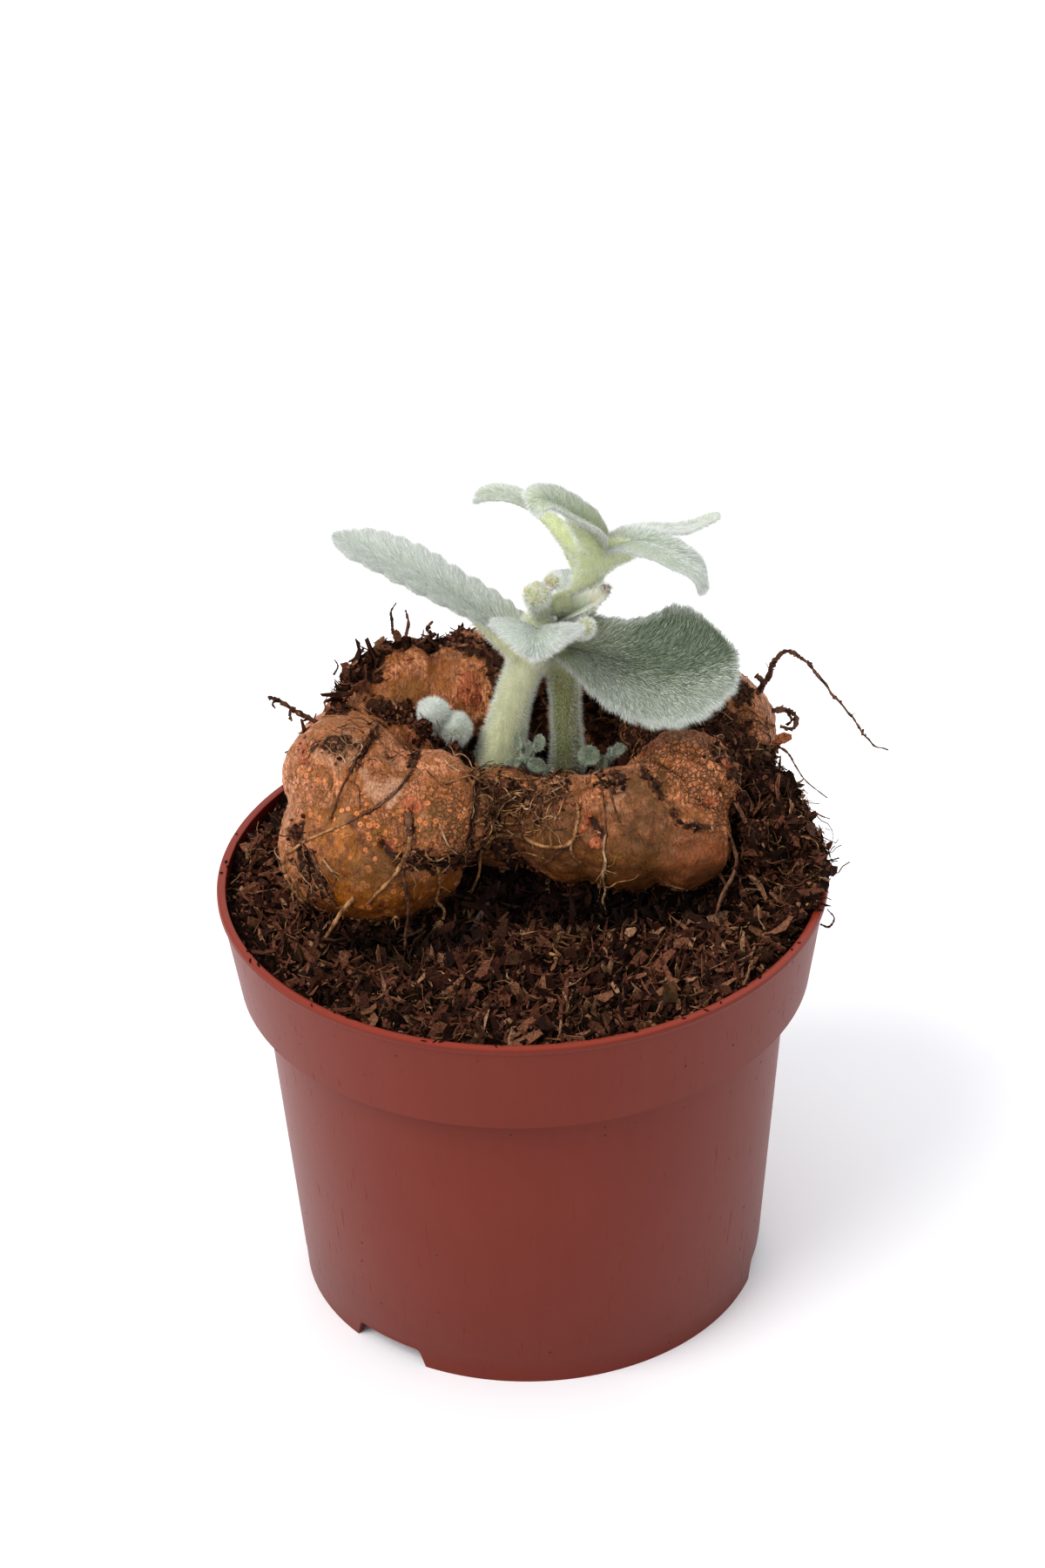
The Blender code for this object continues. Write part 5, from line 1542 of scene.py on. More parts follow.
fur = {
    # per square mm, least and greatest length in mm, how far the hairs lean along the comb
    "leaf": (19.0, (0.6, 1.5), 2.4),
    "silk": (24.0, (0.7, 1.7), 3.4),
    "rim": (36.0, (0.6, 1.3), 2.0),
    "stem": (22.0, (0.5, 1.3), 0.5),
    "shoot": (60.0, (0.4, 1.2), 0.3),
    "sucker": (34.0, (0.3, 0.7), 0.7),
    "bud": (46.0, (0.4, 1.4), 0.3),
    "hairWidth": 0.055,
    "spread": 0.35,
}


def hairShape(name, bend):
    # one long thin triangle, its tip bent aside
    bm = bmesh.new()
    bmesh.ops.create_circle(bm, cap_ends=True, segments=3, radius=1)
    half = fur["hairWidth"] / 2
    for vert, place in zip(bm.verts, ((-half, 0, 0), (half, 0, 0), (bend, bend * 0.4, 1))):
        vert.co = place
    return draft(name, bm)


def furPaint(name, shade, light):
    paint = Paint(name, 0.6, Specular_IOR_Level=0.3, Sheen_Weight=0.3, Sheen_Roughness=0.4)
    paint.colour(paint.mix(paint.attribute("tone"), shade, light))
    return paint


def makeFur(name, meshes, kind, seed, paint, mask=None, comb=None):
    perArea, size, lean = fur[kind]
    hairs = [hairShape("hair", bend) for bend in (0.08, -0.10, 0.18)]
    carrier = finished(name, meshCopy(*meshes))
    mesh = scatter(carrier, hairs, perArea, size, seed, mask, lean if comb else 0.0, fur["spread"], comb)
    settle(name, mesh, paint, smooth=False)


# Leaves: the solids' own midribs, widths and folds, bent finely, with veins

leafShape = {
    "edgeThinning": 0.75,
    "rippleWaves": 1.6,
    "rippleSkew": 0.05,
    "leastHalfWidth": 0.6,
    "veinSlant": 0.16,      # how far a side vein runs towards the tip on its way to the edge
    "midribDepth": 0.55,
    "midribWidth": 0.9,
    "tipRound": 0.12,       # share of the midrib over which the tip is rounded off
}

leaves = {
    "leafLeft": dict(
        node="leaf_left",
        midrib=((3.2, 22, 127.5), (-2.6, 21, 132.6), (-9.8, 21, 138.6), (-18.2, 21, 145), (-26.9, 22, 150),
                (-34.3, 24, 153.3)),
        face=((0.3, -0.15, 1), (0.4, -0.05, 1), (0.35, 0, 1), (0.3, 0.05, 1)),
        width=(5.2, 6.6, 8.2, 9.2, 9.8, 9.3, 7.9, 5.2), back=(3.8, 5.4, 7.2, 8.6, 9.6, 9.6, 8.4, 5.6),
        fold=(40, 24, 14, 8), droop=0.1, ripple=0.35,
        scallops=12, depth=0.13, along=120, across=30, thickness=0.9, veins=9, quilt=0.35, petiole=2.5,
        green=((0.27, 0.33, 0.24), (0.44, 0.48, 0.41)), whiten=0.25),
    "leafRight": dict(
        node="leaf_right",
        midrib=((8.9, 21, 128.8), (16.2, 17.6, 128.2), (24, 14.6, 127.2), (31, 13.2, 127.2),
                (37.4, 13.8, 128.4),
                (42.4, 15.4, 129.4)),
        face=((0, -0.6, 1), (-0.1, -0.8, 0.9), (0, -0.8, 0.9), (0.1, -0.8, 0.9)),
        width=(3.8, 6.8, 9.6, 11.5, 12.6, 12.1, 10.0, 7.1, 3.8),
        back=(5.6, 7.4, 8.4, 10.6, 12.8, 13.2, 12.0, 8.8, 4.6),
        fold=(34, 22, 14, 8), droop=0.12, ripple=0.9,
        scallops=11, depth=0.05, along=110, across=40, thickness=0.9, veins=8, quilt=0.25, petiole=2.4,
        green=((0.090, 0.120, 0.060), (0.20, 0.24, 0.16)), whiten=0.0, veined=0.0, bare=0.93,
        silk=0.4, sunk=0.95),
    "leafFront": dict(
        node="leaf_front",
        midrib=((4.3, 19, 130.5), (4.2, 13, 136.6), (4.0, 6.5, 140.8), (3.9, 2.6, 140.6), (3.8, 1.4, 137.8)),
        face=((0.05, -0.4, 1), (0.05, -0.3, 1), (0.05, -0.8, 0.8), (0.05, -1, 0.4)),
        width=(3.4, 8.0, 9.2, 8.0, 5.0, 2.0), fold=(30, 20, 12, 8), droop=0.2, ripple=0.3,
        scallops=5, depth=0.06, along=60, across=30, thickness=0.85, veins=6, quilt=0.18, petiole=2.2,
        green=((0.25, 0.30, 0.23), (0.42, 0.47, 0.40)), whiten=0.2),
    "leafBack": dict(
        node="leaf_back",
        midrib=((12.2, 27.5, 134.5), (10.8, 34, 136.0), (10.0, 42, 134)),
        face=((0, -0.2, 1), (0, -0.1, 1)),
        width=(2.0, 3.2, 3.4, 3.0, 2.2), fold=(25, 10), droop=0.1, ripple=0.1,
        scallops=4, depth=0.05, along=36, across=14, thickness=0.8, veins=5, quilt=0.12, petiole=1.4,
        green=((0.25, 0.33, 0.25), (0.42, 0.50, 0.41)), whiten=0.2),
    "leafSmall": dict(
        node="leaf_small",
        midrib=((8.4, 21.5, 134.4), (12.6, 19.8, 137.6), (16.6, 19.6, 140.4), (18.4, 20, 142.6)),
        face=((-0.3, -0.5, 1), (-0.3, -0.5, 1)),
        width=(2.0, 2.8, 2.6, 1.9, 1.2), fold=(42, 34, 20), droop=0.0, ripple=0.0,
        scallops=0, depth=0.0, along=36, across=14, thickness=0.75, veins=4, quilt=0.1, petiole=1.2,
        green=((0.40, 0.47, 0.25), (0.60, 0.62, 0.45)), whiten=0.2, tipped=True),
    "leafTopLeft": dict(
        node="leaf_top_left",
        midrib=((15.2, 25.2, 143.2), (11.5, 30, 147.1), (6.5, 33, 151.4), (0.7, 34, 155.3), (-4.6, 34, 156.0),
                (-7.2, 33, 154.9)),
        face=((0.9, 0.2, 0.3), (0.7, 0.2, 0.7), (0.3, 0.1, 1), (0, 0, 1), (-0.9, 0, 0.4)),
        width=(2.6, 3.6, 4.1, 4.0, 3.6, 3.0), back=(2.0, 2.8, 3.3, 3.4, 3.2, 3.0), fold=(15, 8), droop=0.15,
        ripple=0.15,
        scallops=6, depth=0.05, along=70, across=18, thickness=0.85, veins=7, quilt=0.15, petiole=1.8,
        green=((0.27, 0.33, 0.18), (0.44, 0.49, 0.34)), whiten=0.15),
    "leafTopFront": dict(
        node="leaf_top_front",
        midrib=((16.2, 22.5, 149.5), (14.4, 19.5, 155.2), (11.5, 14.4, 161), (8.2, 11, 165.4),
                (5.1, 8.5, 167.8),
                (3.8, 8, 166)),
        face=((0.8, -0.3, 0.2), (0.7, -0.3, 0.6), (0.4, -0.4, 1), (-0.2, -0.4, 1), (-0.9, -0.3, 0.1)),
        width=(3.0, 4.0, 4.4, 4.4, 4.0, 3.2), back=(3.2, 5.0, 6.0, 5.6, 4.6, 3.2), fold=(58, 46, 24, 10),
        droop=0.1,
        ripple=0.15,
        scallops=6, depth=0.05, along=76, across=20, thickness=0.85, veins=7, quilt=0.15, petiole=2.0,
        green=((0.25, 0.31, 0.15), (0.42, 0.48, 0.30)), whiten=0.1, baseTo=0.7),
    "leafTopRight": dict(
        node="leaf_top_right",
        midrib=((17.2, 22.4, 148.6), (20.6, 18.6, 152.6), (25.4, 14.4, 155), (31.6, 12, 153.6),
                (35.5, 12, 150.4),
                (36.7, 12, 146.4)),
        face=((-0.7, -0.1, 0.6), (-0.3, -0.1, 1), (0.1, -0.1, 1), (0.5, -0.1, 0.8), (0.9, -0.1, 0.3)),
        width=(2.2, 3.0, 4.6, 5.8, 6.0, 5.0), back=(3.8, 4.4, 4.6, 4.8, 4.6, 3.8), fold=(24, 14, 5),
        droop=0.25,
        ripple=0.15,
        scallops=6, depth=0.06, along=76, across=20, thickness=0.85, veins=7, quilt=0.15, petiole=2.0,
        green=((0.22, 0.28, 0.18), (0.40, 0.45, 0.35)), whiten=0.1),
    "leafTopBack": dict(
        node="leaf_top_back",
        midrib=((17.6, 25, 147), (22.5, 31, 147.2), (27.0, 36.4, 145.7), (33.3, 42, 143.0), (37.6, 46, 142.0),
                (41, 48, 142.6)),
        face=((-0.3, 0, 1), (-0.2, -0.1, 1), (-0.2, -0.1, 1)),
        width=(2.4, 3.6, 4.4, 4.0, 2.5, 1.8, 1.9), fold=(15, 5), droop=0.1, ripple=0.2,
        scallops=5, depth=0.05, along=70, across=20, thickness=0.85, veins=7, quilt=0.15, petiole=1.8,
        green=((0.42, 0.47, 0.33), (0.58, 0.62, 0.50)), whiten=0.2),
}


def leafFrames(leaf):
    count = leaf["along"] + 1
    route = smoothRoute(leaf["midrib"], count)
    faces = smoothRoute(leaf["face"], count)
    sides = (smoothValues(leaf["width"], count), smoothValues(leaf.get("back", leaf["width"]), count))
    folds = smoothValues(leaf["fold"], count)
    frames = []
    for index, place in enumerate(route):
        ahead = route[min(index + 1, count - 1)] - route[max(index - 1, 0)]
        side = ahead.cross(faces[index]).normalized()
        up = side.cross(ahead).normalized()
        into = max(0, index / (count - 1) - 1 + leafShape["tipRound"]) / leafShape["tipRound"]
        blunt = math.sqrt(max(0, 1 - into * into))
        halves = [max(values[index] * blunt, leafShape["leastHalfWidth"]) for values in sides]
        frames.append((place, side, up, halves, math.radians(folds[index]), ahead.normalized()))
    return frames


def leafPoint(leaf, frames, t, s):
    # a point of the blade: t runs from base to tip and s from -1 to 1 across it
    place, side, up, halves, fold, _ = frames[round(t * leaf["along"])]
    half = halves[0] if s > 0 else halves[1]
    across = abs(s)
    if leaf["scallops"]:
        tooth = abs(math.sin(math.pi * leaf["scallops"] * t))
        half *= 1 - leaf["depth"] * (1 - tooth) * across ** 3
    rise = half * (across * math.sin(fold) - leaf["droop"] * across ** 3)
    rise += leaf["ripple"] * across ** 2 * math.sin(math.tau * (leafShape["rippleWaves"] * t
                                                               + leafShape["rippleSkew"] * s))
    # the blade is sunk along the midrib and swells between the side veins
    rise -= leafShape["midribDepth"] * math.exp(-(s * half / leafShape["midribWidth"]) ** 2) * (1 - t) * 0.8
    phase = leaf["veins"] * (t - leafShape["veinSlant"] * across)
    rise -= leaf["quilt"] * abs(math.cos(math.pi * phase)) ** 6 * min(across * 4, 1) * (1.1 - across)
    return place + side * half * s * math.cos(fold) + up * rise


def makeLeafMesh(leaf):
    frames = leafFrames(leaf)
    bm = bmesh.new()
    bmesh.ops.create_grid(bm, x_segments=leaf["along"], y_segments=leaf["across"], size=1)
    names = ("along", "across", "upper", "rim", "hairy", "silky")
    along, across, upper, rim, hairy, silky = (bm.verts.layers.float.new(name) for name in names)
    comb = bm.verts.layers.float_vector.new("comb")
    for vert in bm.verts:
        t = (vert.co.x + 1) / 2
        s = vert.co.y
        # the half that faces up in the picture is barer on some leaves, and is painted darker there as
        # painted shade
        vert[hairy] = 1 - leaf.get("bare", 0) * clamped((0.45 - s) * 2) * clamped(t * 5 - 0.9)
        vert[silky] = max(1 - vert[hairy], leaf.get("silk", 0))
        vert[hairy] *= 1 - leaf.get("silk", 0) * 0.5
        if leaf.get("baseTo"):
            vert[hairy] -= 0.6 * max(1 - t / leaf["baseTo"], 0)
        _, side, _, _, _, ahead = frames[round(t * leaf["along"])]
        vert[along] = t
        vert[across] = s
        vert[rim] = clamped(max(abs(s) * 8 - 6.6, t * 24 - 23))
        outward = side * s * 1.6 + ahead * (0.75 + 2 * max(t - 0.85, 0))
        vert[comb] = outward.normalized()
        vert.co = leafPoint(leaf, frames, t, s)
    bm.normal_update()
    lower = list(bm.verts)
    normals = [vert.normal.copy() for vert in lower]
    grown = bmesh.ops.extrude_face_region(bm, geom=bm.faces[:], use_keep_orig=True)
    lifted = [item for item in grown["geom"] if isinstance(item, bmesh.types.BMVert)]
    for normal, low, high in zip(normals, lower, lifted):
        t, s = low[along], low[across]
        depth = normal * leaf["thickness"] * (1 - leafShape["edgeThinning"] * s * s) / 2
        low.co -= depth
        high.co += depth
        face = frames[round(t * leaf["along"])][2]
        low[upper] = 0.0 if normal.dot(face) > 0 else 1.0
        high[upper] = 1 - low[upper]
    bmesh.ops.recalc_face_normals(bm, faces=bm.faces[:])
    return finished("leaf", bm)


def leafPaint(name, leaf):
    paint = Paint(name, 0.72, Specular_IOR_Level=0.3, Sheen_Weight=0.35, Sheen_Roughness=0.4)
    dark, light = leaf["green"]
    along = paint.attribute("along")
    across = paint.maths("ABSOLUTE", paint.attribute("across"))
    upper = paint.attribute("upper")
    cloud = paint.noise(0.28, 3)
    felt = paint.noise(1.7, 4, rough=0.7)
    tint = paint.mix(paint.between(cloud * 0.6 + across * 0.5, 0.25, 0.75), dark, light)
    phase = (along - across * leafShape["veinSlant"]) * (leaf["veins"] * math.pi)
    vein = paint.maths("ABSOLUTE", paint.maths("COSINE", phase)) ** 24.0 * (1 - across) * 0.8
    rib = 1 - paint.between(across, 0.0, 0.055)
    veined = paint.maths("MAXIMUM", vein, rib) * leaf.get("veined", 0.4)
    tint = paint.mix(veined, tint, (0.44, 0.49, 0.33))
    if leaf.get("bare"):
        # painted shade darkens the half that faces up, and painted light makes the other half paler
        tint = paint.mix((1 - paint.attribute("hairy")) * 0.95, tint, (0.060, 0.084, 0.042))
        pale = paint.between(paint.attribute("across") - along * 0.3, 0.15, 0.65)
        tint = paint.mix(pale * 0.4, tint, (0.42, 0.45, 0.41))
    tint = paint.mix(paint.between(across, 0.80, 1.0) * 0.6, tint, (0.66, 0.69, 0.64))
    tint = paint.mix(paint.between(felt, 0.45, 0.75) * 0.25, tint, (0.60, 0.63, 0.59))
    base = 1 - paint.between(along, 0.0, leaf.get("baseTo", 0.34))
    tint = paint.mix(base * 0.75, tint, (0.42, 0.465, 0.26))
    tint = paint.mix(leaf["whiten"], tint, (0.66, 0.70, 0.66))
    if leaf.get("tipped"):
        tint = paint.mix(paint.between(along, 0.72, 0.95), tint, (0.20, 0.085, 0.06))
        band = paint.between(along, 0.45, 0.6) * (1 - paint.between(along, 0.65, 0.8))
        tint = paint.mix(band, tint, (0.72, 0.66, 0.50))
    beneath = paint.mix(cloud, (0.33, 0.38, 0.22), (0.48, 0.52, 0.37))
    tint = paint.mix((1 - upper) * 0.85, tint, beneath)
    specks = paint.specks(0.55, (0.10, 0.06), (0.93, 0.95))
    paint.colour(paint.mix(specks * 0.8, tint, (0.06, 0.055, 0.04)))
    paint.bump(felt + vein * -0.8 + paint.noise(4.0, 3, rough=0.8) * 0.5, 0.18)
    return paint


def makeLeaves():
    made = {}
    for name, leaf in leaves.items():
        mesh = makeLeafMesh(leaf)
        made[name] = mesh
        settle(name, mesh, leafPaint(name, leaf), [leaf["node"]])
    light = furPaint("leafFur", (0.56, 0.59, 0.55), (0.90, 0.91, 0.90))
    makeFur("furLeaves", made.values(), "leaf", 201, light, "hairy", "comb")
    # a finer and greener coat over the bare half of the large right leaf
    silk = furPaint("silkFur", (0.10, 0.135, 0.075), (0.42, 0.48, 0.37))
    makeFur("furSilk", [made["leafRight"]], "silk", 251, silk, "silky", "comb")
    makeFur("furRims", made.values(), "rim", 211, light, "rim", "comb")


makeLeaves()
print("leaves made")


# Stems: each with its leaves' stalks grown into it

stems = {
    "stemLeft": {
        "node": "stem_left",
        "route": ((-4.2, 25, 94), (-3.8, 24.8, 100), (-2.8, 24.5, 106.5), (-1.2, 24, 114.4), (1.1, 23, 121.9),
                  (3.4, 22, 128.4), (4.3, 20.5, 133), (4.7, 18, 138)),
        "radii": (5.9, 5.2, 4.2, 3.5, 3.5, 4.1, 3.5, 2.2),
        "leaves": ("leafLeft", "leafFront"),
        # extra limbs as (place, radius) ends
        "limbs": ((((1.0, 22.8, 120.5), 2.6), ((5.2, 23.5, 124.6), 1.7), ((8.6, 24.6, 123.4), 1.5)),
                  (((3.0, 21.5, 127), 3.0), ((6.0, 19.5, 130.5), 2.2), ((9.5, 20.0, 130.0), 1.6)),
                  (((-4.4, 22.6, 95), 2.6), ((-6.6, 20.8, 97.5), 2.0), ((-7.0, 20.4, 99.0), 1.2))),
    },
    "stemRight": {
        "node": "stem_right",
        "route": ((9.4, 26, 94), (9.6, 26, 104.2), (9.4, 25.5, 112.6), (9.3, 25, 120.9), (10.2, 25, 127.8),
                  (12.3, 25, 134.6), (13.9, 24.5, 140.5), (15.1, 24, 144.8), (16.4, 23, 148.8),
                  (16.8, 22, 152)),
        "radii": (3.6, 2.9, 2.75, 3.0, 3.5, 3.2, 2.8, 3.1, 3.5, 2.3),
        "leaves": ("leafRight", "leafBack", "leafSmall", "leafTopLeft", "leafTopFront", "leafTopRight",
                   "leafTopBack"),
        "limbs": ((((9.0, 25.0, 123.4), 2.6), ((5.2, 24.0, 123.4), 2.4), ((2.0, 23.4, 123.2), 2.4)),
                  (((12.5, 24.2, 137.2), 2.3), ((9.0, 21.5, 138.4), 2.1), ((6.2, 19.5, 138.2), 1.8)),
                  (((17.0, 22.5, 147.8), 3.1), ((20.6, 19.2, 151.0), 2.5), ((24.8, 16, 153.2), 1.6),
                   ((28.5, 14, 154.0), 0.9)),
                  (((15.8, 21.7, 151), 2.8), ((13.6, 19.6, 155.2), 2.0), ((10.9, 16.2, 160.0), 1.2)),
                  (((15.4, 24, 147), 2.8), ((11.6, 25.6, 149.2), 2.2), ((8.0, 29.0, 151.8), 1.7),
                   ((4.4, 32.0, 153.4), 1.1))),
    },
}
stemShape = {
    "steps": 70,
    "voxel": 0.5,
    "smoothing": 7,
    "stalkReach": 0.42,    # share of a leaf's midrib that its stalk runs along
    "stalkDrop": 0.55,
}


def makeStem(stem):
    count = stemShape["steps"]
    route = smoothRoute(stem["route"], count)
    radii = smoothValues(stem["radii"], count)
    routes = [list(zip(route, radii))]
    for leafName in stem["leaves"]:
        leaf = leaves[leafName]
        frames = leafFrames(leaf)
        stalk = []
        for step in range(12):
            share = step / 11
            place, _, up, _, _, _ = frames[round(share * stemShape["stalkReach"] * leaf["along"])]
            radius = leaf["petiole"] * (1 - share) ** 0.7 + 0.35
            stalk.append((place - up * (stemShape["stalkDrop"] + radius * leaf.get("sunk", 0.35)), radius))
        first = stalk[0][0]
        near = min(route, key=lambda place: (place - first).length)
        stalk.insert(0, (near.lerp(first, 0.35), leaf["petiole"] + 0.5))
        routes.append(stalk)
    for limb in stem["limbs"]:
        places = smoothRoute([place for place, _ in limb], 10)
        routes.append(list(zip(places, smoothValues([radius for _, radius in limb], 10))))
    bm = fused(meshCopy(strands(routes, 6)), stemShape["voxel"], stemShape["smoothing"])
    raiseBy(bm, lambda place: noise.noise(Vector((place.x * 0.9, place.y * 0.9, place.z * 0.12))) * 0.35
            + noise.noise(place * 0.3) * 0.3)
    comb = bm.verts.layers.float_vector.new("comb")
    for vert in bm.verts:
        vert[comb] = Vector((vert.normal.x, vert.normal.y, 0.4))
    return finished("stem", bm)


def stemPaint():
    paint = Paint("stemSkin", 0.6, Specular_IOR_Level=0.35, Sheen_Weight=0.3, Sheen_Roughness=0.4)
    height = paint.axis("Z")
    streak = paint.noise(0.9, 3, paint.stretched((1, 1, 0.07)))
    cloud = paint.noise(0.2, 3)
    tint = paint.mix(streak, (0.43, 0.46, 0.23), (0.74, 0.75, 0.52))
    # painted shadow: the right stem is painted dark olive below the leaves
    right = paint.between(paint.axis("X"), 4.5, 8.0) * (1 - paint.between(height, 118.0, 130.0))
    tint = paint.mix(right * 0.90, tint, (0.16, 0.18, 0.035))
    tint = paint.mix(paint.between(cloud, 0.5, 0.8) * 0.5, tint, (0.56, 0.55, 0.38))
    foot = 1 - paint.between(height, 97.0, 104.0)
    tint = paint.mix(foot * 0.25, tint, (0.30, 0.22, 0.12))
    top = paint.between(height, 138.0, 150.0)
    tint = paint.mix(top * 0.5, tint, (0.47, 0.53, 0.24))
    specks = paint.specks(0.5, (0.12, 0.08), (0.90, 0.92))
    paint.colour(paint.mix(specks, tint, (0.03, 0.025, 0.02)))
    paint.bump(streak + paint.noise(3.0, 3) * 0.5, 0.2)
    return paint


def grow(table, make, paint):
    # one piece for each row of a table
    meshes = []
    for name, row in table.items():
        meshes.append(make(row))
        settle(name, meshes[-1], paint(name, row) if callable(paint) else paint, [row["node"]])
    return meshes


def makeStems():
    meshes = grow(stems, makeStem, stemPaint())
    light = furPaint("stemFur", (0.66, 0.70, 0.62), (0.92, 0.94, 0.90))
    makeFur("furStems", meshes, "stem", 221, light, None, "comb")


makeStems()
print("stems made")


# Buds: a head of small florets over pointed sepals on a short stalk

buds = {
    "budsLeft": {
        "node": "flower_buds_left",
        "stalk": ((5.2, 18.8, 135.5), (4.8, 17.6, 139), (4.3, 16.6, 142)),
        "knobs": ((4.2, 16.2, 142.9, 2.45), (7.2, 18.6, 144.6, 1.4)),
    },
    "budRight": {
        "node": "flower_bud_right",
        "stalk": ((11.6, 23.5, 131.8), (12.8, 19, 133.6), (13.5, 15.6, 136.0)),
        "knobs": ((13.6, 14.8, 136.4, 1.5),),
    },
}
budShape = {
    "stalkRadius": 1.6,
    "aim": (0.0, -0.62, 0.78),
    "florets": 6,
    "floretSize": 0.33,
    "floretOut": 0.72,
    "floretUp": 0.62,
    "sepals": 5,
    "sepalLength": 1.5,
    "voxel": 0.16,
    "smoothing": 2,
}


def makeBud(bud):
    routes = [tapered(smoothRoute(bud["stalk"], 8), budShape["stalkRadius"], budShape["stalkRadius"] * 0.9)]
    bm = meshCopy(strands(routes, 4))
    tilt = Vector(budShape["aim"]).to_track_quat("Z", "Y").to_matrix()
    for x, y, z, radius in bud["knobs"]:
        centre = Vector((x, y, z))
        bmesh.ops.create_icosphere(bm, subdivisions=3, radius=radius, matrix=Matrix.Translation(centre))
        for index in range(budShape["florets"]):
            # one floret in the middle and a ring of the others round it
            angle = index * math.tau / (budShape["florets"] - 1) + 0.3
            ring = (math.cos(angle) * budShape["floretOut"], math.sin(angle) * budShape["floretOut"],
                    budShape["floretUp"])
            out = tilt @ Vector(ring if index else (0, 0, 0.95))
            aim = out.to_track_quat("Z", "Y").to_matrix().to_4x4()
            place = Matrix.Translation(centre + out * radius) @ aim @ Matrix.Diagonal((1, 1, 1.15, 1))
            size = radius * budShape["floretSize"]
            grown = bmesh.ops.create_icosphere(bm, subdivisions=3, radius=size, matrix=place)
            for vert in grown["verts"]:
                # a small dimple at the top of each floret
                if (vert.co - centre - out * radius).dot(out.normalized()) > radius * 0.30:
                    vert.co -= out.normalized() * radius * 0.20
        for index in range(budShape["sepals"]):
            azimuth = Matrix.Rotation(index * math.tau / budShape["sepals"], 4, "Z")
            lean = Matrix.Rotation(math.radians(66), 4, "Y")
            flat = Matrix.Diagonal((0.35, 1, 1, 1))
            reach = Matrix.Translation((0, 0, radius * 0.75))
            bmesh.ops.create_cone(bm, cap_ends=True, segments=12, radius1=radius * 0.5, radius2=0.08,
                                  depth=radius * budShape["sepalLength"],
                                  matrix=Matrix.Translation(centre) @ azimuth @ lean @ flat @ reach)
    bm = fused(bm, budShape["voxel"], budShape["smoothing"])
    tops = bm.verts.layers.float.new("floret")
    for vert in bm.verts:
        raised = 0.0
        for x, y, z, radius in bud["knobs"]:
            out = vert.co - Vector((x, y, z))
            if tilt.col[2].dot(out) > 0.25 * radius and out.length < 1.6 * radius:
                raised = max(raised, clamped((out.length / radius - 1.12) * 8))
        vert[tops] = raised
    return finished("bud", bm)


def budPaint():
    paint = Paint("budSkin", 0.6, Sheen_Weight=0.3, Sheen_Roughness=0.4)
    grain = paint.noise(1.2, 4)
    tint = paint.mix(grain, (0.30, 0.37, 0.11), (0.58, 0.60, 0.34))
    rusty = paint.mix(paint.noise(2.0, 3), (0.40, 0.17, 0.06), (0.70, 0.46, 0.27))
    paint.colour(paint.mix(paint.attribute("floret") * 0.9, tint, rusty))
    paint.bump(grain, 0.15)
    return paint


def makeBuds():
    meshes = grow(buds, makeBud, budPaint())
    makeFur("furBuds", meshes, "bud", 231, furPaint("budFur", (0.70, 0.72, 0.66), (0.94, 0.95, 0.92)))


makeBuds()
print("buds made")


# Young shoots: woolly knobs, and seedling leaves on short stalks

shoots = {
    "woollyShoot": {
        "node": "shoot_woolly",
        "slot": "woolly_white",
        "stalk": ((-14, 22.5, 100), (-13.8, 22.8, 105), (-14, 23, 109)),
        "stalkRadius": 1.6,
        "knobs": ((-16.9, 23.4, 113.0, 2.7), (-12.4, 22.6, 109.6, 2.9), (-15.4, 23.4, 110.2, 2.0),
                  (-13.0, 23.2, 107.4, 2.2)),
        "leaflets": (),
        "fur": "shoot",
    },
    "suckerRight": {
        "node": "sucker_right",
        "slot": "silver_leaf",
        "stalk": ((17, 20.5, 90), (17, 20.3, 98), (16.8, 20, 102.4)),
        "stalkRadius": 1.0,
        "knobs": ((16.8, 19.6, 102.6, 1.2),),
        # centre, radius, length against width, turn in the plane and the way it faces
        "leaflets": (((13.9, 19.0, 104.5), 2.0, 1.30, 168, (-0.3, -0.7, 0.8)),
                     ((19.7, 20.0, 105.1), 1.2, 1.75, 22, (0.3, -0.4, 1.0)),
                     ((18.2, 20.6, 104.2), 0.9, 1.5, 60, (0.5, -0.6, 0.7)),
                     ((16.7, 18.4, 103.6), 0.9, 1.5, 100, (-0.1, -0.9, 0.3)),
                     ((15.6, 18.0, 101.6), 0.9, 1.4, 250, (-0.2, -0.9, 0.4))),
        "fur": "sucker",
    },
    "suckerMiddle": {
        "node": "sucker_middle",
        "slot": "silver_leaf",
        "stalk": ((1.6, 18.6, 93), (1.4, 18.8, 99), (1.3, 19.2, 104.5)),
        "stalkRadius": 0.9,
        "knobs": ((1.3, 18.8, 104.4, 1.1),),
        "leaflets": (((-1.3, 17.6, 104.0), 1.2, 1.5, 195, (-0.3, -0.6, 0.8)),
                     ((0.2, 19.2, 108.6), 1.0, 1.8, 115, (-0.5, -0.8, 0.4)),
                     ((1.9, 18.6, 107.4), 0.8, 1.7, 80, (0.4, -0.9, 0.4)),
                     ((3.9, 18.0, 108.6), 1.2, 1.6, 52, (0.4, -0.7, 0.8)),
                     ((3.4, 17.0, 104.0), 1.5, 1.25, -25, (0.2, -0.8, 0.6)),
                     ((-3.6, 17.6, 101.8), 1.0, 1.5, 185, (-0.3, -0.5, 0.9)),
                     ((5.4, 17.0, 102.6), 1.0, 1.4, -10, (0.3, -0.9, 0.5))),
        "fur": "sucker",
    },
}


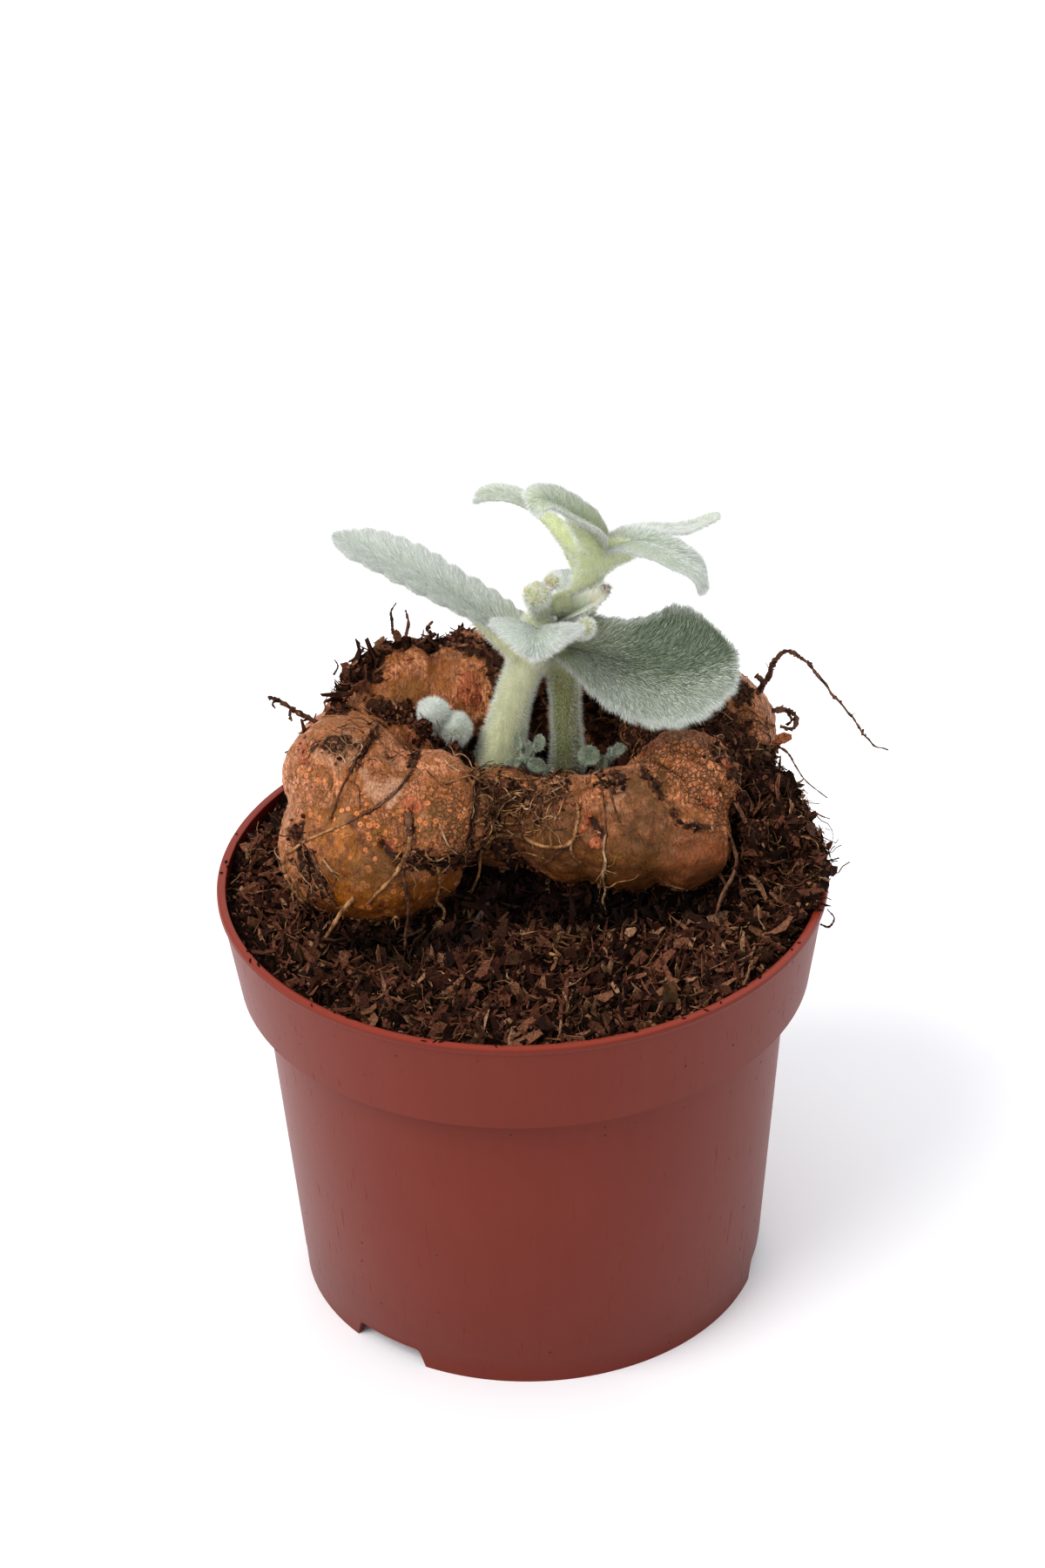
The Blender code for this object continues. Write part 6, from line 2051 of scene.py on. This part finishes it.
def addLeaflet(bm, centre, radius, stretch, turn, face):
    # a small round cupped blade
    aim = Vector(face).to_track_quat("Z", "Y").to_matrix().to_4x4()
    place = Matrix.Translation(centre) @ aim @ Matrix.Rotation(math.radians(turn), 4, "Z")
    grown = bmesh.ops.create_icosphere(bm, subdivisions=4, radius=1)
    for vert in grown["verts"]:
        flat = vert.co
        away = flat.x ** 2 + flat.y ** 2
        cup = 0.55 * abs(flat.y) - 0.25 * flat.x * abs(flat.x) + 0.1 * away
        wave = 0.07 * math.sin(7 * math.atan2(flat.y, flat.x)) * away
        narrow = 1 - 0.25 * max(flat.x, 0) ** 2
        rise = (flat.z * 0.24 + cup + wave) * radius
        vert.co = place @ Vector((flat.x * radius * stretch, flat.y * radius * narrow, rise))


def makeShoot(shoot):
    base = Vector(shoot["stalk"][-1])
    radius = shoot["stalkRadius"]
    routes = [tapered(smoothRoute(shoot["stalk"], 10), radius * 1.15, radius * 0.8)]
    for centre, size, _, _, _ in shoot["leaflets"]:
        reach = Vector(centre)
        route = smoothRoute([base - Vector((0, 0, 1.5)), base.lerp(reach, 0.5), reach], 7)
        routes.append(tapered(route, 0.65, 0.35))
    bm = meshCopy(strands(routes, 3))
    draw = random.Random(17)
    for *centre, size in shoot["knobs"]:
        shift = anyWay(draw, 9)
        addKnob(bm, Vector(centre), size, 4, lambda place: 1 + 0.22 * noise.noise(place * 0.45 + shift)
                + 0.10 * noise.noise(place * 1.1 + shift))
    for leaflet in shoot["leaflets"]:
        addLeaflet(bm, *leaflet)
    return finished("shoot", bm)


def shootPaint(name, dark, light, fading=None):
    # with fading the tint goes from dark to light between two heights
    paint = Paint(name, 0.75, Sheen_Weight=0.4, Sheen_Roughness=0.4)
    cloud = paint.noise(0.5, 4)
    felt = paint.noise(2.2, 4, rough=0.7)
    share = paint.between(cloud * 0.5 + felt * 0.5, 0.3, 0.7)
    if fading:
        share = paint.between(paint.axis("Z") + cloud * 5.0 - 2.5, *fading)
    paint.colour(paint.mix(share, dark, light))
    paint.bump(felt, 0.25)
    return paint


def makeShoots():
    woolly = shootPaint("shootWool", (0.16, 0.21, 0.10), (0.60, 0.64, 0.58), (107.5, 114.0))
    leafy = shootPaint("suckerSkin", (0.075, 0.105, 0.055), (0.27, 0.32, 0.22))
    for number, (name, shoot) in enumerate(shoots.items()):
        paint = woolly if shoot["slot"] == "woolly_white" else leafy
        meshes = grow({name: shoot}, makeShoot, paint)
        light = furPaint(name + "Fur", (0.62, 0.67, 0.62), (0.93, 0.95, 0.93))
        makeFur("fur" + name[0].upper() + name[1:], meshes, shoot["fur"], 241 + 10 * number, light)


makeShoots()
print("shoots made")
